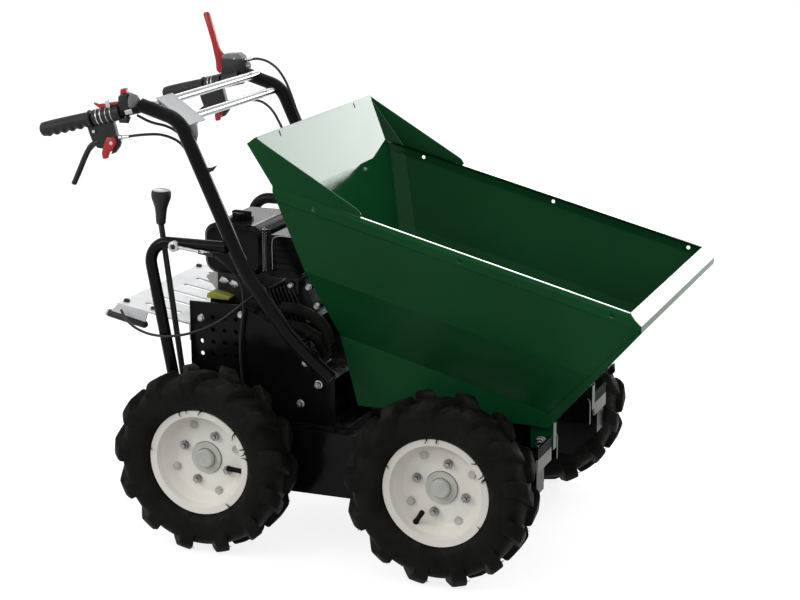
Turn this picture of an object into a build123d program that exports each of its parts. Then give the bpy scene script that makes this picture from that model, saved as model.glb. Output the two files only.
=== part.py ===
from build123d import *
import os
from math import radians, tan

os.makedirs("parts", exist_ok=True)

# Driving dimensions, millimetres
# X runs forward, the way the skip tips. Y runs to the machine's left. Z is up from the ground.
mid_x = -2.5  # middle of the wheelbase, seen from the middle of the whole length
wheelbase = 542.0
front_axle_x = mid_x + wheelbase / 2
rear_axle_x = mid_x - wheelbase / 2
running_clearance = 0.05
seat_gap = 0.3

# Wheels
tyre_radius = 203.0
lug_height = 13.0
crown_radius = tyre_radius - lug_height
tyre_half_width = 55.0
tyre_wall = 9.0
lugs_per_side = 13
lug_width = 27.0
lug_angle = 40.0
wheel_centre_y = 330.0
rim_flange_radius = 116.5
rim_half_width = 35.0
bead_radius = 101.0
rim_well_radius = 84.0
rim_well_flat = 4.0
rim_wall = 3.0
disc_recess = 40.0
disc_hole_radius = 20.0
disc_shoulder = 14.0
hub_flange_radius = 68.0
hub_flange_thick = 8.0
hub_washer_radius = 35.0
hub_washer_thick = 4.0
hub_cap_radius = 21.0
hub_cap_height = 11.0
shaft_radius = 15.0

# Chassis
rail_inner_y = 200.0
rail_width = 50.0
rail_bottom_z = 121.0
rail_top_z = 264.0
rail_wall = 4.0
rail_rear_x = rear_axle_x - 109.0
rail_front_x = front_axle_x + 181.0
beam_size = 40.0
side_plate_thick = 4.0
side_plate_top_z = 515.0
side_plate_front_z = 380.0
side_plate_rear_x = mid_x - 365.0
side_plate_front_x = mid_x - 20.0
deck_z = 352.0
deck_thick = 4.0
gearbox_half_length = 65.0

# Skip
sheet = 3.0
skip_floor_z = 308.0
rim_half_y = 317.0
rim_z = 779.0  # rim's top edge above the middle of the wheelbase
rim_fall = 0.262  # the rim and the creases drop this much for each length forward
hem_height = 17.0
hem_facet = 8.0
crease_one_y = 266.0
crease_one_drop = 173.0
crease_two_y = 175.0
crease_two_drop = 321.0
floor_rear_x = mid_x + 21.0
floor_front_x = mid_x + 454.0
lip_x = mid_x + 682.0
lip_z = rim_z - 196.0
lip_inner_x = mid_x + 657.0
lip_hem = 14.0
front_lap_foot = 30.0  # the front wall's edge laps this far over the sides
front_lap_top = 9.0
back_fold_x = mid_x - 97.0
back_fold_z = rim_z - 1.0
guard_top_x = mid_x - 145.0
guard_top_z = rim_z + 128.0
guard_tip_x = mid_x - 164.0
guard_tip_z = rim_z + 114.0
gusset_front_x = mid_x + 90.0
gusset_tip_round = 8.0
corner_flange = 48.0
corner_fold_foot_z = skip_floor_z + 150.0
rim_hole_radius = 4.5
rim_hole_drop = 15.0
rim_hole_pitch = 317.5
rim_hole_middle_x = mid_x + 305.5
guard_slot_y = 201.0
guard_slot_length = 12.0
guard_slot_width = 5.0
guard_slot_drop = 10.0

# Tipping hinge
pivot_x = mid_x + 432.0
pivot_z = 268.0
pin_radius = 8.0
hinge_plate_y = 151.0
hinge_plate_thick = 5.0
hinge_plate_half = 24.0
hinge_plate_drop = 15.0
hinge_flange = 15.0
bracket_y = 120.0
bracket_thick = 8.0
bracket_round = 25.0

# Handles and controls
handle_y = 255.0
grip_end_y = 280.0
handle_radius = 15.5
bar_radius = 12.0
bar_start_x = -430.0  # handle places along X are counted from the middle of the wheelbase
bar_start_z = 948.6
bar_end_x = -660.0
bar_end_z = 891.5
bar_play = 0.15
grip_radius = 16.0
grip_collar_radius = 20.0
grip_start_x = -552.0
grip_end_x = -673.0
loop_radius = 13.0
loop_top_z = 655.0
loop_bend = 45.0
cross_tube_radius = 9.0
cable_radius = 3.0
hand_lever_thick = 14.0
knob_y = 222.0
gear_rod_radius = 7.0

# Engine
tank_near_y = -150.0
tank_far_y = 50.0
tank_rear_x = mid_x - 355.0
tank_front_x = mid_x - 212.0
tank_bottom_z = 568.0
tank_top_z = 680.0
crank_x = mid_x - 283.5
crank_z = 450.0
crankcase_near_y = -125.0
crankcase_far_y = 25.0
crankcase_radius = 64.0
cylinder_rise = 0.42  # the cylinder leans forward and climbs this much for each length
fin_count = 9
fin_pitch = 9.5
fin_thick = 3.0
box_bottom_z = 570.0
box_length = 84.0


def save(piece, node):
    piece.part.label = node
    export_step(piece.part, f"parts/{node}.step")


def save_pair(right_piece, node):
    """Writes a piece of the machine's right side and its mirror image."""
    save(right_piece, f"{node}_right")
    with BuildPart() as left_piece:
        mirror(right_piece.part, about=Plane.XZ)
    save(left_piece, f"{node}_left")


def side_plane(y):
    """The XZ plane on the machine's right at this distance from the middle, facing right."""
    return Plane.XZ.offset(y)


def from_middle(points):
    """Side-view points whose X is counted from the middle of the wheelbase."""
    return [(mid_x + x, z) for x, z in points]


# Wheels are drawn with the axle along Z and the outer face up, then turned into place.
disc_z = rim_half_width - disc_recess

with BuildPart() as tyre_carcass:
    with BuildSketch(Plane.XZ):
        with BuildLine():
            Polyline(
                (crown_radius - tyre_wall, 0),
                (crown_radius, 0),
                (crown_radius - 5, tyre_half_width - 17),
                (crown_radius - 22, tyre_half_width - 2),
                (rim_flange_radius + 12, tyre_half_width - 6),
                (rim_flange_radius, rim_half_width - rim_wall - 2 * seat_gap),
                (bead_radius + 3 + seat_gap, rim_half_width - rim_wall - 1.5 - 2 * seat_gap),
                (bead_radius + seat_gap, rim_half_width - 17),
                (rim_flange_radius + 12, tyre_half_width - 14),
                (crown_radius - tyre_wall - 8, tyre_half_width - 18),
                close=True,
            )
        make_face()
        mirror(about=Plane.XZ)
    revolve(axis=Axis.Z)

lug_start = 3.0
lug_end = tyre_half_width + 5
lug_lean = (lug_end - lug_start) * tan(radians(lug_angle))
lug_base = crown_radius - 40

with BuildPart() as lug:
    with BuildSketch(Plane(origin=(lug_base, 0, 0), x_dir=(0, 1, 0), z_dir=(1, 0, 0))):
        with BuildLine():
            Polyline(
                (-lug_width / 2, lug_start),
                (lug_width / 2, lug_start),
                (lug_width * 0.65 + lug_lean, lug_end),
                (-lug_width * 0.65 + lug_lean, lug_end),
                close=True,
            )
        make_face()
    extrude(amount=tyre_radius)
    with BuildSketch(Plane.XZ):
        with BuildLine():
            Polyline(
                (lug_base - 10, 0),
                (tyre_radius, 0),
                (tyre_radius, tyre_half_width - 17),
                (crown_radius - 6, tyre_half_width),
                (crown_radius - 26, tyre_half_width),
                (lug_base - 10, tyre_half_width - 6),
                close=True,
            )
        make_face()
    revolve(axis=Axis.Z, mode=Mode.INTERSECT)

with BuildPart() as tyre:
    add(tyre_carcass.part)
    with PolarLocations(0, lugs_per_side):
        add(lug.part)
    with PolarLocations(0, lugs_per_side, start_angle=180 / lugs_per_side):
        add(lug.part.mirror(Plane.XY))

with BuildPart() as rim:
    with BuildSketch(Plane.XZ):
        with BuildLine():
            Polyline(
                (rim_flange_radius, rim_half_width - rim_wall),
                (bead_radius + 3, rim_half_width - rim_wall - 1.5),
                (bead_radius, rim_half_width - 17),
                (rim_well_radius, disc_z - rim_wall),
                (rim_well_radius, disc_z - rim_wall - rim_well_flat),
                (bead_radius, 17 - rim_half_width),
                (bead_radius + 3, rim_wall + 1.5 - rim_half_width),
                (rim_flange_radius, rim_wall - rim_half_width),
            )
            offset(amount=rim_wall, side=Side.RIGHT, kind=Kind.INTERSECTION)
        make_face()
    revolve(axis=Axis.Z)
    with BuildSketch(Plane.XY.offset(disc_z - rim_wall)):
        Circle(rim_well_radius - rim_wall / 3)
        Circle(disc_hole_radius, mode=Mode.SUBTRACT)
    extrude(amount=rim_wall)
    disc_rings = edges().filter_by(GeomType.CIRCLE).filter_by_position(Axis.Z, disc_z, disc_z)
    fillet(disc_rings.sort_by(SortBy.RADIUS)[-1], radius=disc_shoulder)

with BuildPart() as hub:
    hub_back = disc_z - rim_wall - hub_flange_thick
    shaft_end = wheel_centre_y - rail_inner_y - rail_wall - 2
    with BuildSketch(Plane.XY.offset(hub_back)):
        Circle(hub_flange_radius)
    extrude(amount=hub_flange_thick)
    with BuildSketch(Plane.XY.offset(-shaft_end)):
        Circle(shaft_radius)
    extrude(amount=shaft_end + hub_back)
    with BuildSketch(Plane.XY.offset(hub_back)):
        Circle(disc_hole_radius - 2)
    extrude(amount=hub_flange_thick + rim_wall)
    with BuildSketch(Plane.XY.offset(disc_z)):
        Circle(hub_washer_radius)
    extrude(amount=hub_washer_thick)
    with BuildSketch(Plane.XY.offset(disc_z + hub_washer_thick)):
        Circle(hub_cap_radius)
    extrude(amount=hub_cap_height)
    fillet(faces().sort_by(Axis.Z)[-1].edges(), radius=hub_cap_height / 2)

wheel_pieces = {"tyre": tyre, "rim": rim, "hub": hub}
for axle, axle_x in {"front": front_axle_x, "rear": rear_axle_x}.items():
    stand = Location((axle_x, -wheel_centre_y, tyre_radius), (90, 0, 0))
    for name, blank in wheel_pieces.items():
        with BuildPart() as placed:
            add(blank.part.moved(stand))
        save_pair(placed, f"{name}_{axle}")

# Chassis rails, hollow cases that carry the wheel shafts
with BuildPart() as rail:
    with BuildSketch(side_plane(rail_inner_y)):
        with BuildLine():
            Polyline(
                (rail_rear_x, rail_bottom_z + 30),
                (rail_rear_x + 30, rail_bottom_z),
                (rail_front_x - 60, rail_bottom_z),
                (rail_front_x, rail_bottom_z + 60),
                (rail_front_x, rail_top_z),
                (rail_rear_x, rail_top_z),
                close=True,
            )
        rail_outline = make_face()
    extrude(amount=rail_width)
    with BuildSketch(side_plane(rail_inner_y + rail_wall)):
        offset(rail_outline.moved(Location((0, 0, 0))), amount=-rail_wall)
    extrude(amount=rail_width - 2 * rail_wall, mode=Mode.SUBTRACT)
    for axle_x in (front_axle_x, rear_axle_x):
        with BuildSketch(side_plane(rail_inner_y)):
            with Locations((axle_x, tyre_radius)):
                Circle(shaft_radius + running_clearance)
        extrude(amount=rail_width, mode=Mode.SUBTRACT)
save_pair(rail, "rail")

with BuildPart() as side_plate:
    with BuildSketch(side_plane(rail_inner_y)):
        with BuildLine():
            Polyline(
                (side_plate_rear_x, rail_top_z),
                (side_plate_rear_x, side_plate_top_z),
                (side_plate_front_x - 221, side_plate_top_z),
                (side_plate_front_x - 60, side_plate_front_z + 60),
                (side_plate_front_x, side_plate_front_z),
                (side_plate_front_x, rail_top_z),
                close=True,
            )
        make_face()
        with Locations((side_plate_rear_x + 70, side_plate_top_z - 75)):
            with GridLocations(28, 28, 4, 4):
                Circle(5, mode=Mode.SUBTRACT)
    extrude(amount=side_plate_thick)
save_pair(side_plate, "side_plate")

# Beams between the rails, with the tipping brackets on the front one
beam_front_x = pivot_x - 40
with BuildPart() as crossmembers:
    for beam_x in (rail_rear_x, side_plate_front_x - 60, front_axle_x - 190, beam_front_x - beam_size):
        with BuildSketch(Plane.XY.offset(rail_top_z - beam_size)):
            with Locations((beam_x, -rail_inner_y)):
                Rectangle(beam_size, 2 * rail_inner_y, align=(Align.MIN, Align.MIN))
        extrude(amount=beam_size)
    with BuildSketch(side_plane(bracket_y)):
        with BuildLine():
            Polyline(
                (beam_front_x, rail_top_z - beam_size),
                (pivot_x + bracket_round, rail_top_z - beam_size),
                (pivot_x + bracket_round, pivot_z + bracket_round),
                (beam_front_x, pivot_z + bracket_round),
                close=True,
            )
        make_face()
        corners = vertices().group_by(Axis.X)[-1].sort_by(Axis.Z)[-1:]
        fillet(corners, radius=bracket_round - 1)
    brackets = extrude(amount=bracket_thick)
    mirror(brackets, about=Plane.XZ)
    pin_end = hinge_plate_y + hinge_plate_thick + 3
    with BuildSketch(side_plane(bracket_y)):
        with Locations((pivot_x, pivot_z)):
            Circle(pin_radius)
    pins = extrude(amount=pin_end - bracket_y)
    mirror(pins, about=Plane.XZ)
save(crossmembers, "crossmembers")

with BuildPart() as front_plate:
    with BuildSketch(Plane.YZ.offset(rail_front_x)):
        with Locations((-rail_inner_y - rail_width - 5, rail_top_z - 31)):
            Rectangle(93, 52, align=(Align.MIN, Align.MIN))
    extrude(amount=4)
    mirror(about=Plane.XZ)
save(front_plate, "front_plates")

with BuildPart() as bearers:
    with BuildSketch(Plane.XY.offset(rail_top_z)):
        with Locations((beam_front_x, -bracket_y)):
            Rectangle(350, 30, align=(Align.MAX, Align.MAX))
    extrude(amount=skip_floor_z - seat_gap - rail_top_z)
    mirror(about=Plane.XZ)
save(bearers, "skip_bearers")

with BuildPart() as deck:
    with BuildSketch(Plane.XY.offset(deck_z)):
        with Locations((side_plate_rear_x, 0)):
            Rectangle(
                side_plate_front_x - side_plate_rear_x - 20,
                2 * rail_inner_y,
                align=(Align.MIN, Align.CENTER),
            )
    extrude(amount=deck_thick)
save(deck, "engine_deck")

with BuildPart() as gearbox:
    with BuildSketch(Plane.XY.offset(rail_bottom_z + 15)):
        with Locations((rear_axle_x, 0)):
            RectangleRounded(2 * gearbox_half_length, 180, 25)
    extrude(amount=deck_z - rail_bottom_z - 15)
    with BuildSketch(side_plane(-rail_inner_y)):
        with Locations((rear_axle_x, tyre_radius)):
            Circle(2 * shaft_radius)
    extrude(amount=2 * rail_inner_y)
save(gearbox, "gearbox")

# Engine, crankshaft along Y
deck_top_z = deck_z + deck_thick
crankcase_width = crankcase_far_y - crankcase_near_y
engine_mid_y = (crankcase_near_y + crankcase_far_y) / 2
cylinder_plane = Plane(
    origin=(crank_x, engine_mid_y, crank_z), x_dir=(0, 1, 0), z_dir=(1, 0, cylinder_rise)
)
barrel_length = 150.0
barrel_round = 12.0
fins_start = 72.0
cover_depth = 24.0
engine_foot_thick = 10.0
engine_foot_length = 2 * crankcase_radius + 30
crankcase_round = 14.0
head_bracket_length = 30.0
head_bracket_width = 110.0
head_bracket_depth = 45.0
box_middle_x = tank_front_x + 8 + box_length / 2
with BuildPart() as engine:
    with BuildSketch(Plane.XY.offset(deck_top_z)):
        with Locations((crank_x, engine_mid_y)):
            RectangleRounded(engine_foot_length, crankcase_width, crankcase_round)
    extrude(amount=engine_foot_thick)
    with BuildSketch(side_plane(-crankcase_far_y)):
        with Locations((crank_x, crank_z)):
            Circle(crankcase_radius)
            Rectangle(
                2 * crankcase_radius, crank_z - deck_top_z, align=(Align.CENTER, Align.MAX)
            )
            Rectangle(
                1.6 * crankcase_radius,
                tank_bottom_z - seat_gap - crank_z,
                align=(Align.CENTER, Align.MIN),
            )
    extrude(amount=crankcase_width)
    with BuildSketch(cylinder_plane):
        RectangleRounded(80, 84, barrel_round)
    extrude(amount=barrel_length)
    for step in range(fin_count):
        with BuildSketch(cylinder_plane.offset(fins_start + step * fin_pitch)):
            RectangleRounded(122, 104, barrel_round + 2)
        extrude(amount=fin_thick)
    with BuildSketch(cylinder_plane.offset(barrel_length)):
        RectangleRounded(86, 74, barrel_round)
    extrude(amount=cover_depth)
    with BuildSketch(Plane.XY.offset(box_bottom_z - seat_gap)):
        with Locations((box_middle_x, engine_mid_y)):
            Rectangle(head_bracket_length, head_bracket_width)
    extrude(amount=-head_bracket_depth)
save(engine, "engine")

tank_round = 30.0
tank_seam = 9.0
cap_x = tank_rear_x + 66
cap_y = tank_near_y + 62
cap_collar = (26.0, 8.0)  # radius, height
cap_top = (20.0, 17.0)
with BuildPart() as tank:
    with BuildSketch(side_plane(-tank_far_y)):
        with Locations(((tank_rear_x + tank_front_x) / 2, (tank_bottom_z + tank_top_z) / 2)):
            RectangleRounded(
                tank_front_x - tank_rear_x, tank_top_z - tank_bottom_z, tank_round
            )
    extrude(amount=tank_far_y - tank_near_y)
    chamfer(faces().filter_by(Axis.Y).edges(), length=tank_seam)
    for cap_radius, cap_height in (cap_collar, cap_top):
        with BuildSketch(Plane.XY.offset(tank_top_z)):
            with Locations((cap_x, cap_y)):
                Circle(cap_radius)
        extrude(amount=cap_height)
save(tank, "fuel_tank")

# The two boxes over the cylinder, the muffler's guard on the near side
box_gap = 1.0
box_depth = 95.0
muffler_height = 94.0
muffler_round = 14.0
louvre_count = 5
louvre_pitch = 14.0
louvre_length = 52.0
louvre_width = 5.0
louvre_depth = 3.0
with BuildPart() as muffler:
    with BuildSketch(side_plane(-engine_mid_y + box_gap / 2)):
        with Locations((box_middle_x, box_bottom_z + muffler_height / 2)):
            RectangleRounded(box_length, muffler_height, muffler_round)
    extrude(amount=box_depth)
    with BuildSketch(Plane(faces().sort_by(Axis.Y)[0])):
        with GridLocations(1, louvre_pitch, 1, louvre_count):
            Rectangle(louvre_length, louvre_width)
    extrude(amount=-louvre_depth, mode=Mode.SUBTRACT)
save(muffler, "muffler_guard")

cleaner_height = 104.0
cleaner_round = 20.0
cleaner_fillet = 8.0
with BuildPart() as cleaner:
    with BuildSketch(side_plane(-engine_mid_y - box_gap / 2)):
        with Locations((box_middle_x, box_bottom_z + cleaner_height / 2)):
            RectangleRounded(box_length, cleaner_height, cleaner_round)
    extrude(amount=-box_depth)
    fillet(faces().sort_by(Axis.Y)[-1].edges(), radius=cleaner_fillet)
save(cleaner, "air_cleaner")

recoil_radius = 78.0
recoil_depth = 42.0
recoil_chamfer = 8.0
recoil_cap_radius = 30.0
recoil_cap_height = 8.0
recoil_slot_circle = 50.0
recoil_slot_count = 12
recoil_slot_length = 24.0
recoil_slot_width = 6.0
recoil_slot_depth = 6.0
with BuildPart() as recoil:
    with BuildSketch(side_plane(-crankcase_far_y)):
        with Locations((crank_x, crank_z)):
            Circle(recoil_radius)
    extrude(amount=-recoil_depth)
    chamfer(faces().sort_by(Axis.Y)[-1].edges(), length=recoil_chamfer)
    with BuildSketch(side_plane(-crankcase_far_y - recoil_depth)):
        with Locations((crank_x, crank_z)):
            Circle(recoil_cap_radius)
    extrude(amount=-recoil_cap_height)
    with BuildSketch(side_plane(-crankcase_far_y - recoil_depth)):
        with Locations((crank_x, crank_z)):
            with PolarLocations(recoil_slot_circle, recoil_slot_count):
                SlotOverall(recoil_slot_length, recoil_slot_width)
    extrude(amount=recoil_slot_depth, mode=Mode.SUBTRACT)
save(recoil, "recoil_starter")

belt_cover_length = 165.0
belt_cover_height = 140.0
belt_cover_round = 40.0
belt_cover_depth = 45.0
belt_cover_chamfer = 8.0
with BuildPart() as belt_cover:
    with BuildSketch(side_plane(-crankcase_near_y)):
        with Locations((crank_x + 10, crank_z - 20)):
            RectangleRounded(belt_cover_length, belt_cover_height, belt_cover_round)
    extrude(amount=belt_cover_depth)
    chamfer(faces().sort_by(Axis.Y)[0].edges(), length=belt_cover_chamfer)
save(belt_cover, "belt_cover")

# Skip
rim_direction = Vector(1, 0, -rim_fall)
skip_length = 1100.0


def side_line(inset):
    """Half of the skip's cross-section at the middle of the wheelbase, from the rim down."""
    return [
        (rim_half_y - hem_facet - inset, rim_z),
        (rim_half_y - inset, rim_z - hem_facet),
        (rim_half_y - inset, rim_z - hem_height - hem_facet),
        (rim_half_y - sheet - inset, rim_z - hem_height - hem_facet - sheet),
        (crease_one_y - inset, rim_z - crease_one_drop),
        (crease_two_y - inset, rim_z - crease_two_drop),
        (crease_two_y - inset, skip_floor_z - 200),
    ]


def swept_along_rim(points):
    """A prism of this section, running both ways along the sloping rim."""
    with BuildPart() as prism:
        with BuildSketch(Plane.YZ.offset(mid_x)):
            with BuildLine():
                Polyline(*[(-y, z) for y, z in points], close=True)
            make_face()
        extrude(amount=skip_length, dir=rim_direction, both=True)
    return prism.part


floor_rear = (floor_rear_x, skip_floor_z)
floor_front = (floor_front_x, skip_floor_z)
lip_outer = (lip_x, lip_z)
lip_low = (lip_x, lip_z - lip_hem)
lip_inner = (lip_inner_x, rim_z - rim_fall * (lip_inner_x - mid_x))
guard_top = (guard_top_x, guard_top_z)
back_fold = (back_fold_x, back_fold_z)
gusset_half_y = rim_half_y - hem_facet

# Where the guard's slope crosses the line of the rim
guard_lean = (guard_top_x - back_fold_x) / (guard_top_z - back_fold_z)
rim_at_fold = rim_z - rim_fall * (back_fold_x - mid_x)
rim_rear_x = back_fold_x + guard_lean * (rim_at_fold - back_fold_z) / (1 + guard_lean * rim_fall)
guard_plane = Plane(
    origin=(guard_top_x, 0, guard_top_z),
    x_dir=(0, 1, 0),
    z_dir=(back_fold_z - guard_top_z, 0, guard_top_x - back_fold_x),
)

side_section = side_line(0) + side_line(sheet)[::-1]
with BuildPart() as front_lap:
    with BuildSketch(side_plane(0)):
        with BuildLine():
            Polyline(
                (floor_front_x - front_lap_foot, skip_floor_z),
                floor_front,
                lip_low,
                (lip_x - front_lap_top, lip_z - lip_hem),
                close=True,
            )
        make_face()
    extrude(amount=rim_half_y + 50)
    add(swept_along_rim(side_line(-sheet) + side_line(0)[::-1]), mode=Mode.INTERSECT)

with BuildPart() as skip_side:
    with BuildSketch(side_plane(0)):
        with BuildLine():
            Polyline(
                floor_rear,
                floor_front,
                lip_low,
                lip_outer,
                lip_inner,
                guard_top,
                back_fold,
                close=True,
            )
        make_face()
    extrude(amount=rim_half_y + 50)
    add(swept_along_rim(side_section), mode=Mode.INTERSECT)
    add(front_lap.part)
    with BuildSketch(side_plane(0)):
        for step in (-1, 0, 1):
            hole_x = rim_hole_middle_x + step * rim_hole_pitch
            with Locations((hole_x, rim_z - rim_fall * (hole_x - mid_x) - rim_hole_drop)):
                Circle(rim_hole_radius)
    extrude(amount=rim_half_y + 1, mode=Mode.SUBTRACT)
save_pair(skip_side, "skip_side")

# The space between the sides, as high as the guard
inner_line = [(gusset_half_y - sheet, rim_z + 500)] + side_line(sheet)
inner_section = inner_line + [(-y, z) for y, z in inner_line[::-1]]
inner_space = swept_along_rim(inner_section)

# The back wall folds forward inside each side wall
flange_rim_x = rim_rear_x + corner_flange
with BuildPart() as fold_blank:
    with BuildSketch(side_plane(0)):
        with BuildLine():
            Polyline(
                floor_rear,
                (floor_rear_x + corner_flange, skip_floor_z),
                (flange_rim_x, rim_z - rim_fall * (flange_rim_x - mid_x) - hem_facet),
                (rim_rear_x, rim_z - rim_fall * (rim_rear_x - mid_x)),
                back_fold,
                close=True,
            )
        make_face()
    extrude(amount=rim_half_y)
    add(swept_along_rim(side_line(sheet) + side_line(2 * sheet)[::-1]), mode=Mode.INTERSECT)
    with BuildSketch(Plane.XY.offset(skip_floor_z)):
        Rectangle(2 * rim_half_y, 2 * rim_half_y)
    extrude(amount=corner_fold_foot_z - skip_floor_z, mode=Mode.SUBTRACT)
corner_fold = fold_blank.part

with BuildPart() as skip_back:
    with BuildSketch(side_plane(-400)):
        with BuildLine():
            Polyline(floor_rear, back_fold, guard_top)
            offset(amount=sheet, side=Side.RIGHT)
        make_face()
    extrude(amount=800)
    add(inner_space, mode=Mode.INTERSECT)
    with BuildSketch(side_plane(gusset_half_y - sheet)):
        with BuildLine():
            Polyline(
                (rim_rear_x, rim_z - rim_fall * (rim_rear_x - mid_x)),
                (gusset_front_x, rim_z - rim_fall * (gusset_front_x - mid_x)),
                guard_top,
                (guard_tip_x, guard_tip_z),
                close=True,
            )
        make_face()
        fillet(vertices().sort_by(Axis.X)[-1], radius=gusset_tip_round)
    gussets = extrude(amount=sheet)
    mirror(gussets, about=Plane.XZ)
    add(corner_fold)
    mirror(corner_fold, about=Plane.XZ)
    with BuildSketch(side_plane(gusset_half_y - 2 * sheet)):
        with BuildLine():
            Polyline(
                (rim_rear_x, rim_z - rim_fall * (rim_rear_x - mid_x)),
                (flange_rim_x, rim_z - rim_fall * (flange_rim_x - mid_x)),
                guard_top,
                close=True,
            )
        make_face()
    upper_folds = extrude(amount=sheet)
    mirror(upper_folds, about=Plane.XZ)
    with BuildSketch(guard_plane):
        with Locations((-guard_slot_y, guard_slot_drop), (guard_slot_y, guard_slot_drop)):
            SlotOverall(guard_slot_length, guard_slot_width, rotation=90)
    extrude(amount=2 * sheet, both=True, mode=Mode.SUBTRACT)
save(skip_back, "skip_back")

with BuildPart() as skip_floor:
    with BuildSketch(side_plane(-400)):
        with BuildLine():
            Polyline(floor_rear, floor_front, lip_low, lip_outer, lip_inner)
            offset(amount=sheet, side=Side.LEFT)
        make_face()
    extrude(amount=800)
    add(inner_space, mode=Mode.INTERSECT)
    add(skip_back.part, mode=Mode.SUBTRACT)
save(skip_floor, "skip_floor")

hinge_front_x = pivot_x + hinge_plate_half + 2
front_slope = (lip_z - lip_hem - skip_floor_z) / (lip_x - floor_front_x)
hinge_top_z = skip_floor_z + (hinge_front_x - floor_front_x) * front_slope
with BuildPart() as hinge_plate:
    with BuildSketch(side_plane(hinge_plate_y)):
        with BuildLine():
            Polyline(
                (pivot_x - hinge_plate_half, pivot_z - hinge_plate_drop),
                (hinge_front_x, pivot_z - hinge_plate_drop),
                (hinge_front_x, hinge_top_z),
                (floor_front_x, skip_floor_z),
                (pivot_x - hinge_plate_half, skip_floor_z),
                close=True,
            )
        make_face()
        with Locations((pivot_x, pivot_z)):
            Circle(pin_radius + running_clearance, mode=Mode.SUBTRACT)
    extrude(amount=hinge_plate_thick)
    with BuildSketch(Plane.YZ.offset(hinge_front_x)):
        with Locations((-hinge_plate_y, pivot_z - hinge_plate_drop)):
            Rectangle(
                hinge_flange,
                hinge_top_z - pivot_z + hinge_plate_drop - 4,
                align=(Align.MIN, Align.MIN),
            )
    extrude(amount=-sheet)
    mirror(about=Plane.XZ)
save(hinge_plate, "hinge_plates")

# Handles
def swept_tube(points, radii, radius):
    """A round tube along straight runs joined by arcs."""
    with BuildPart() as tube:
        with BuildLine() as path:
            FilletPolyline(*points, radius=radii)
        with BuildSketch(Plane(origin=path.line @ 0, z_dir=path.line % 0)):
            Circle(radius)
        sweep()
    return tube.part


def rod(start, end, radius):
    """A straight round rod between two points."""
    with BuildPart() as piece:
        with BuildSketch(Plane(origin=start, z_dir=Vector(end) - Vector(start))):
            Circle(radius)
        extrude(amount=(Vector(end) - Vector(start)).length)
    return piece.part


def right(x, y, z):
    """A point on the machine's right, with X from the middle of the wheelbase."""
    return (mid_x + x, -y, z)


def left(x, y, z):
    """The same point on the machine's left."""
    return (mid_x + x, y, z)


def bar_point(x):
    """A point on the bar's centre line, which flares out towards the grip."""
    share = (x - bar_start_x) / (bar_end_x - bar_start_x)
    y = handle_y + share * (grip_end_y - bar_play - handle_y)
    return right(x, y, bar_start_z + share * (bar_end_z - bar_start_z))


def bar_rod(start_x, end_x, radius):
    return rod(bar_point(start_x), bar_point(end_x), radius)


bar_hole = bar_rod(bar_start_x, bar_end_x, bar_radius + bar_play)
tube_points = [(-6, 386), (-98, 466), (-205, 610), (-348, 924), (-438, 951)]
tube_bends = [300, 400, 60]
boss_places = [(-30, 407), (-86, 456)]
boss_radius = 9.0
with BuildPart() as handle:
    add(swept_tube([right(x, handle_y, z) for x, z in tube_points], tube_bends, handle_radius))
    add(bar_rod(bar_start_x, bar_end_x, bar_radius))
    for x, z in boss_places:
        plate_face_y = rail_inner_y + side_plate_thick
        add(rod(right(x, plate_face_y, z), right(x, handle_y, z), boss_radius))
save_pair(handle, "handle_tube")

with BuildPart() as grips:
    add(bar_rod(grip_start_x, grip_end_x, grip_radius))
    add(bar_rod(grip_start_x, grip_start_x - 5, grip_collar_radius))
    add(bar_hole, mode=Mode.SUBTRACT)
    mirror(about=Plane.XZ)
save(grips, "grips")

foot_x = rail_rear_x - mid_x + 12
loop_corner_x = -437.0
loop_end_x = -243.0
loop_foot_thick = 6.0
loop_foot_length = 30.0
loop_foot_inset = 36.0
with BuildPart() as loop:
    add(
        swept_tube(
            [
                right(foot_x, handle_y, rail_top_z + loop_foot_thick),
                right(loop_corner_x, handle_y, loop_top_z),
                right(loop_end_x, handle_y, loop_top_z),
            ],
            loop_bend,
            loop_radius,
        )
    )
    with BuildSketch(Plane.XY.offset(rail_top_z)):
        with Locations((mid_x + foot_x, -rail_inner_y - loop_foot_inset)):
            Rectangle(
                loop_foot_length,
                handle_y + loop_radius - rail_inner_y - loop_foot_inset,
                align=(Align.CENTER, Align.MAX),
            )
    extrude(amount=loop_foot_thick)
    add(handle.part, mode=Mode.SUBTRACT)
save_pair(loop, "support_loop")

cross_tube_places = ((-409, 952), (-360, 918))
with BuildPart() as cross_tubes:
    for x, z in cross_tube_places:
        add(rod(right(x, handle_y, z), left(x, handle_y, z), cross_tube_radius))
    add(handle.part, mode=Mode.SUBTRACT)
    add(handle.part.mirror(Plane.XZ), mode=Mode.SUBTRACT)
save(cross_tubes, "cross_tubes")

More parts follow.
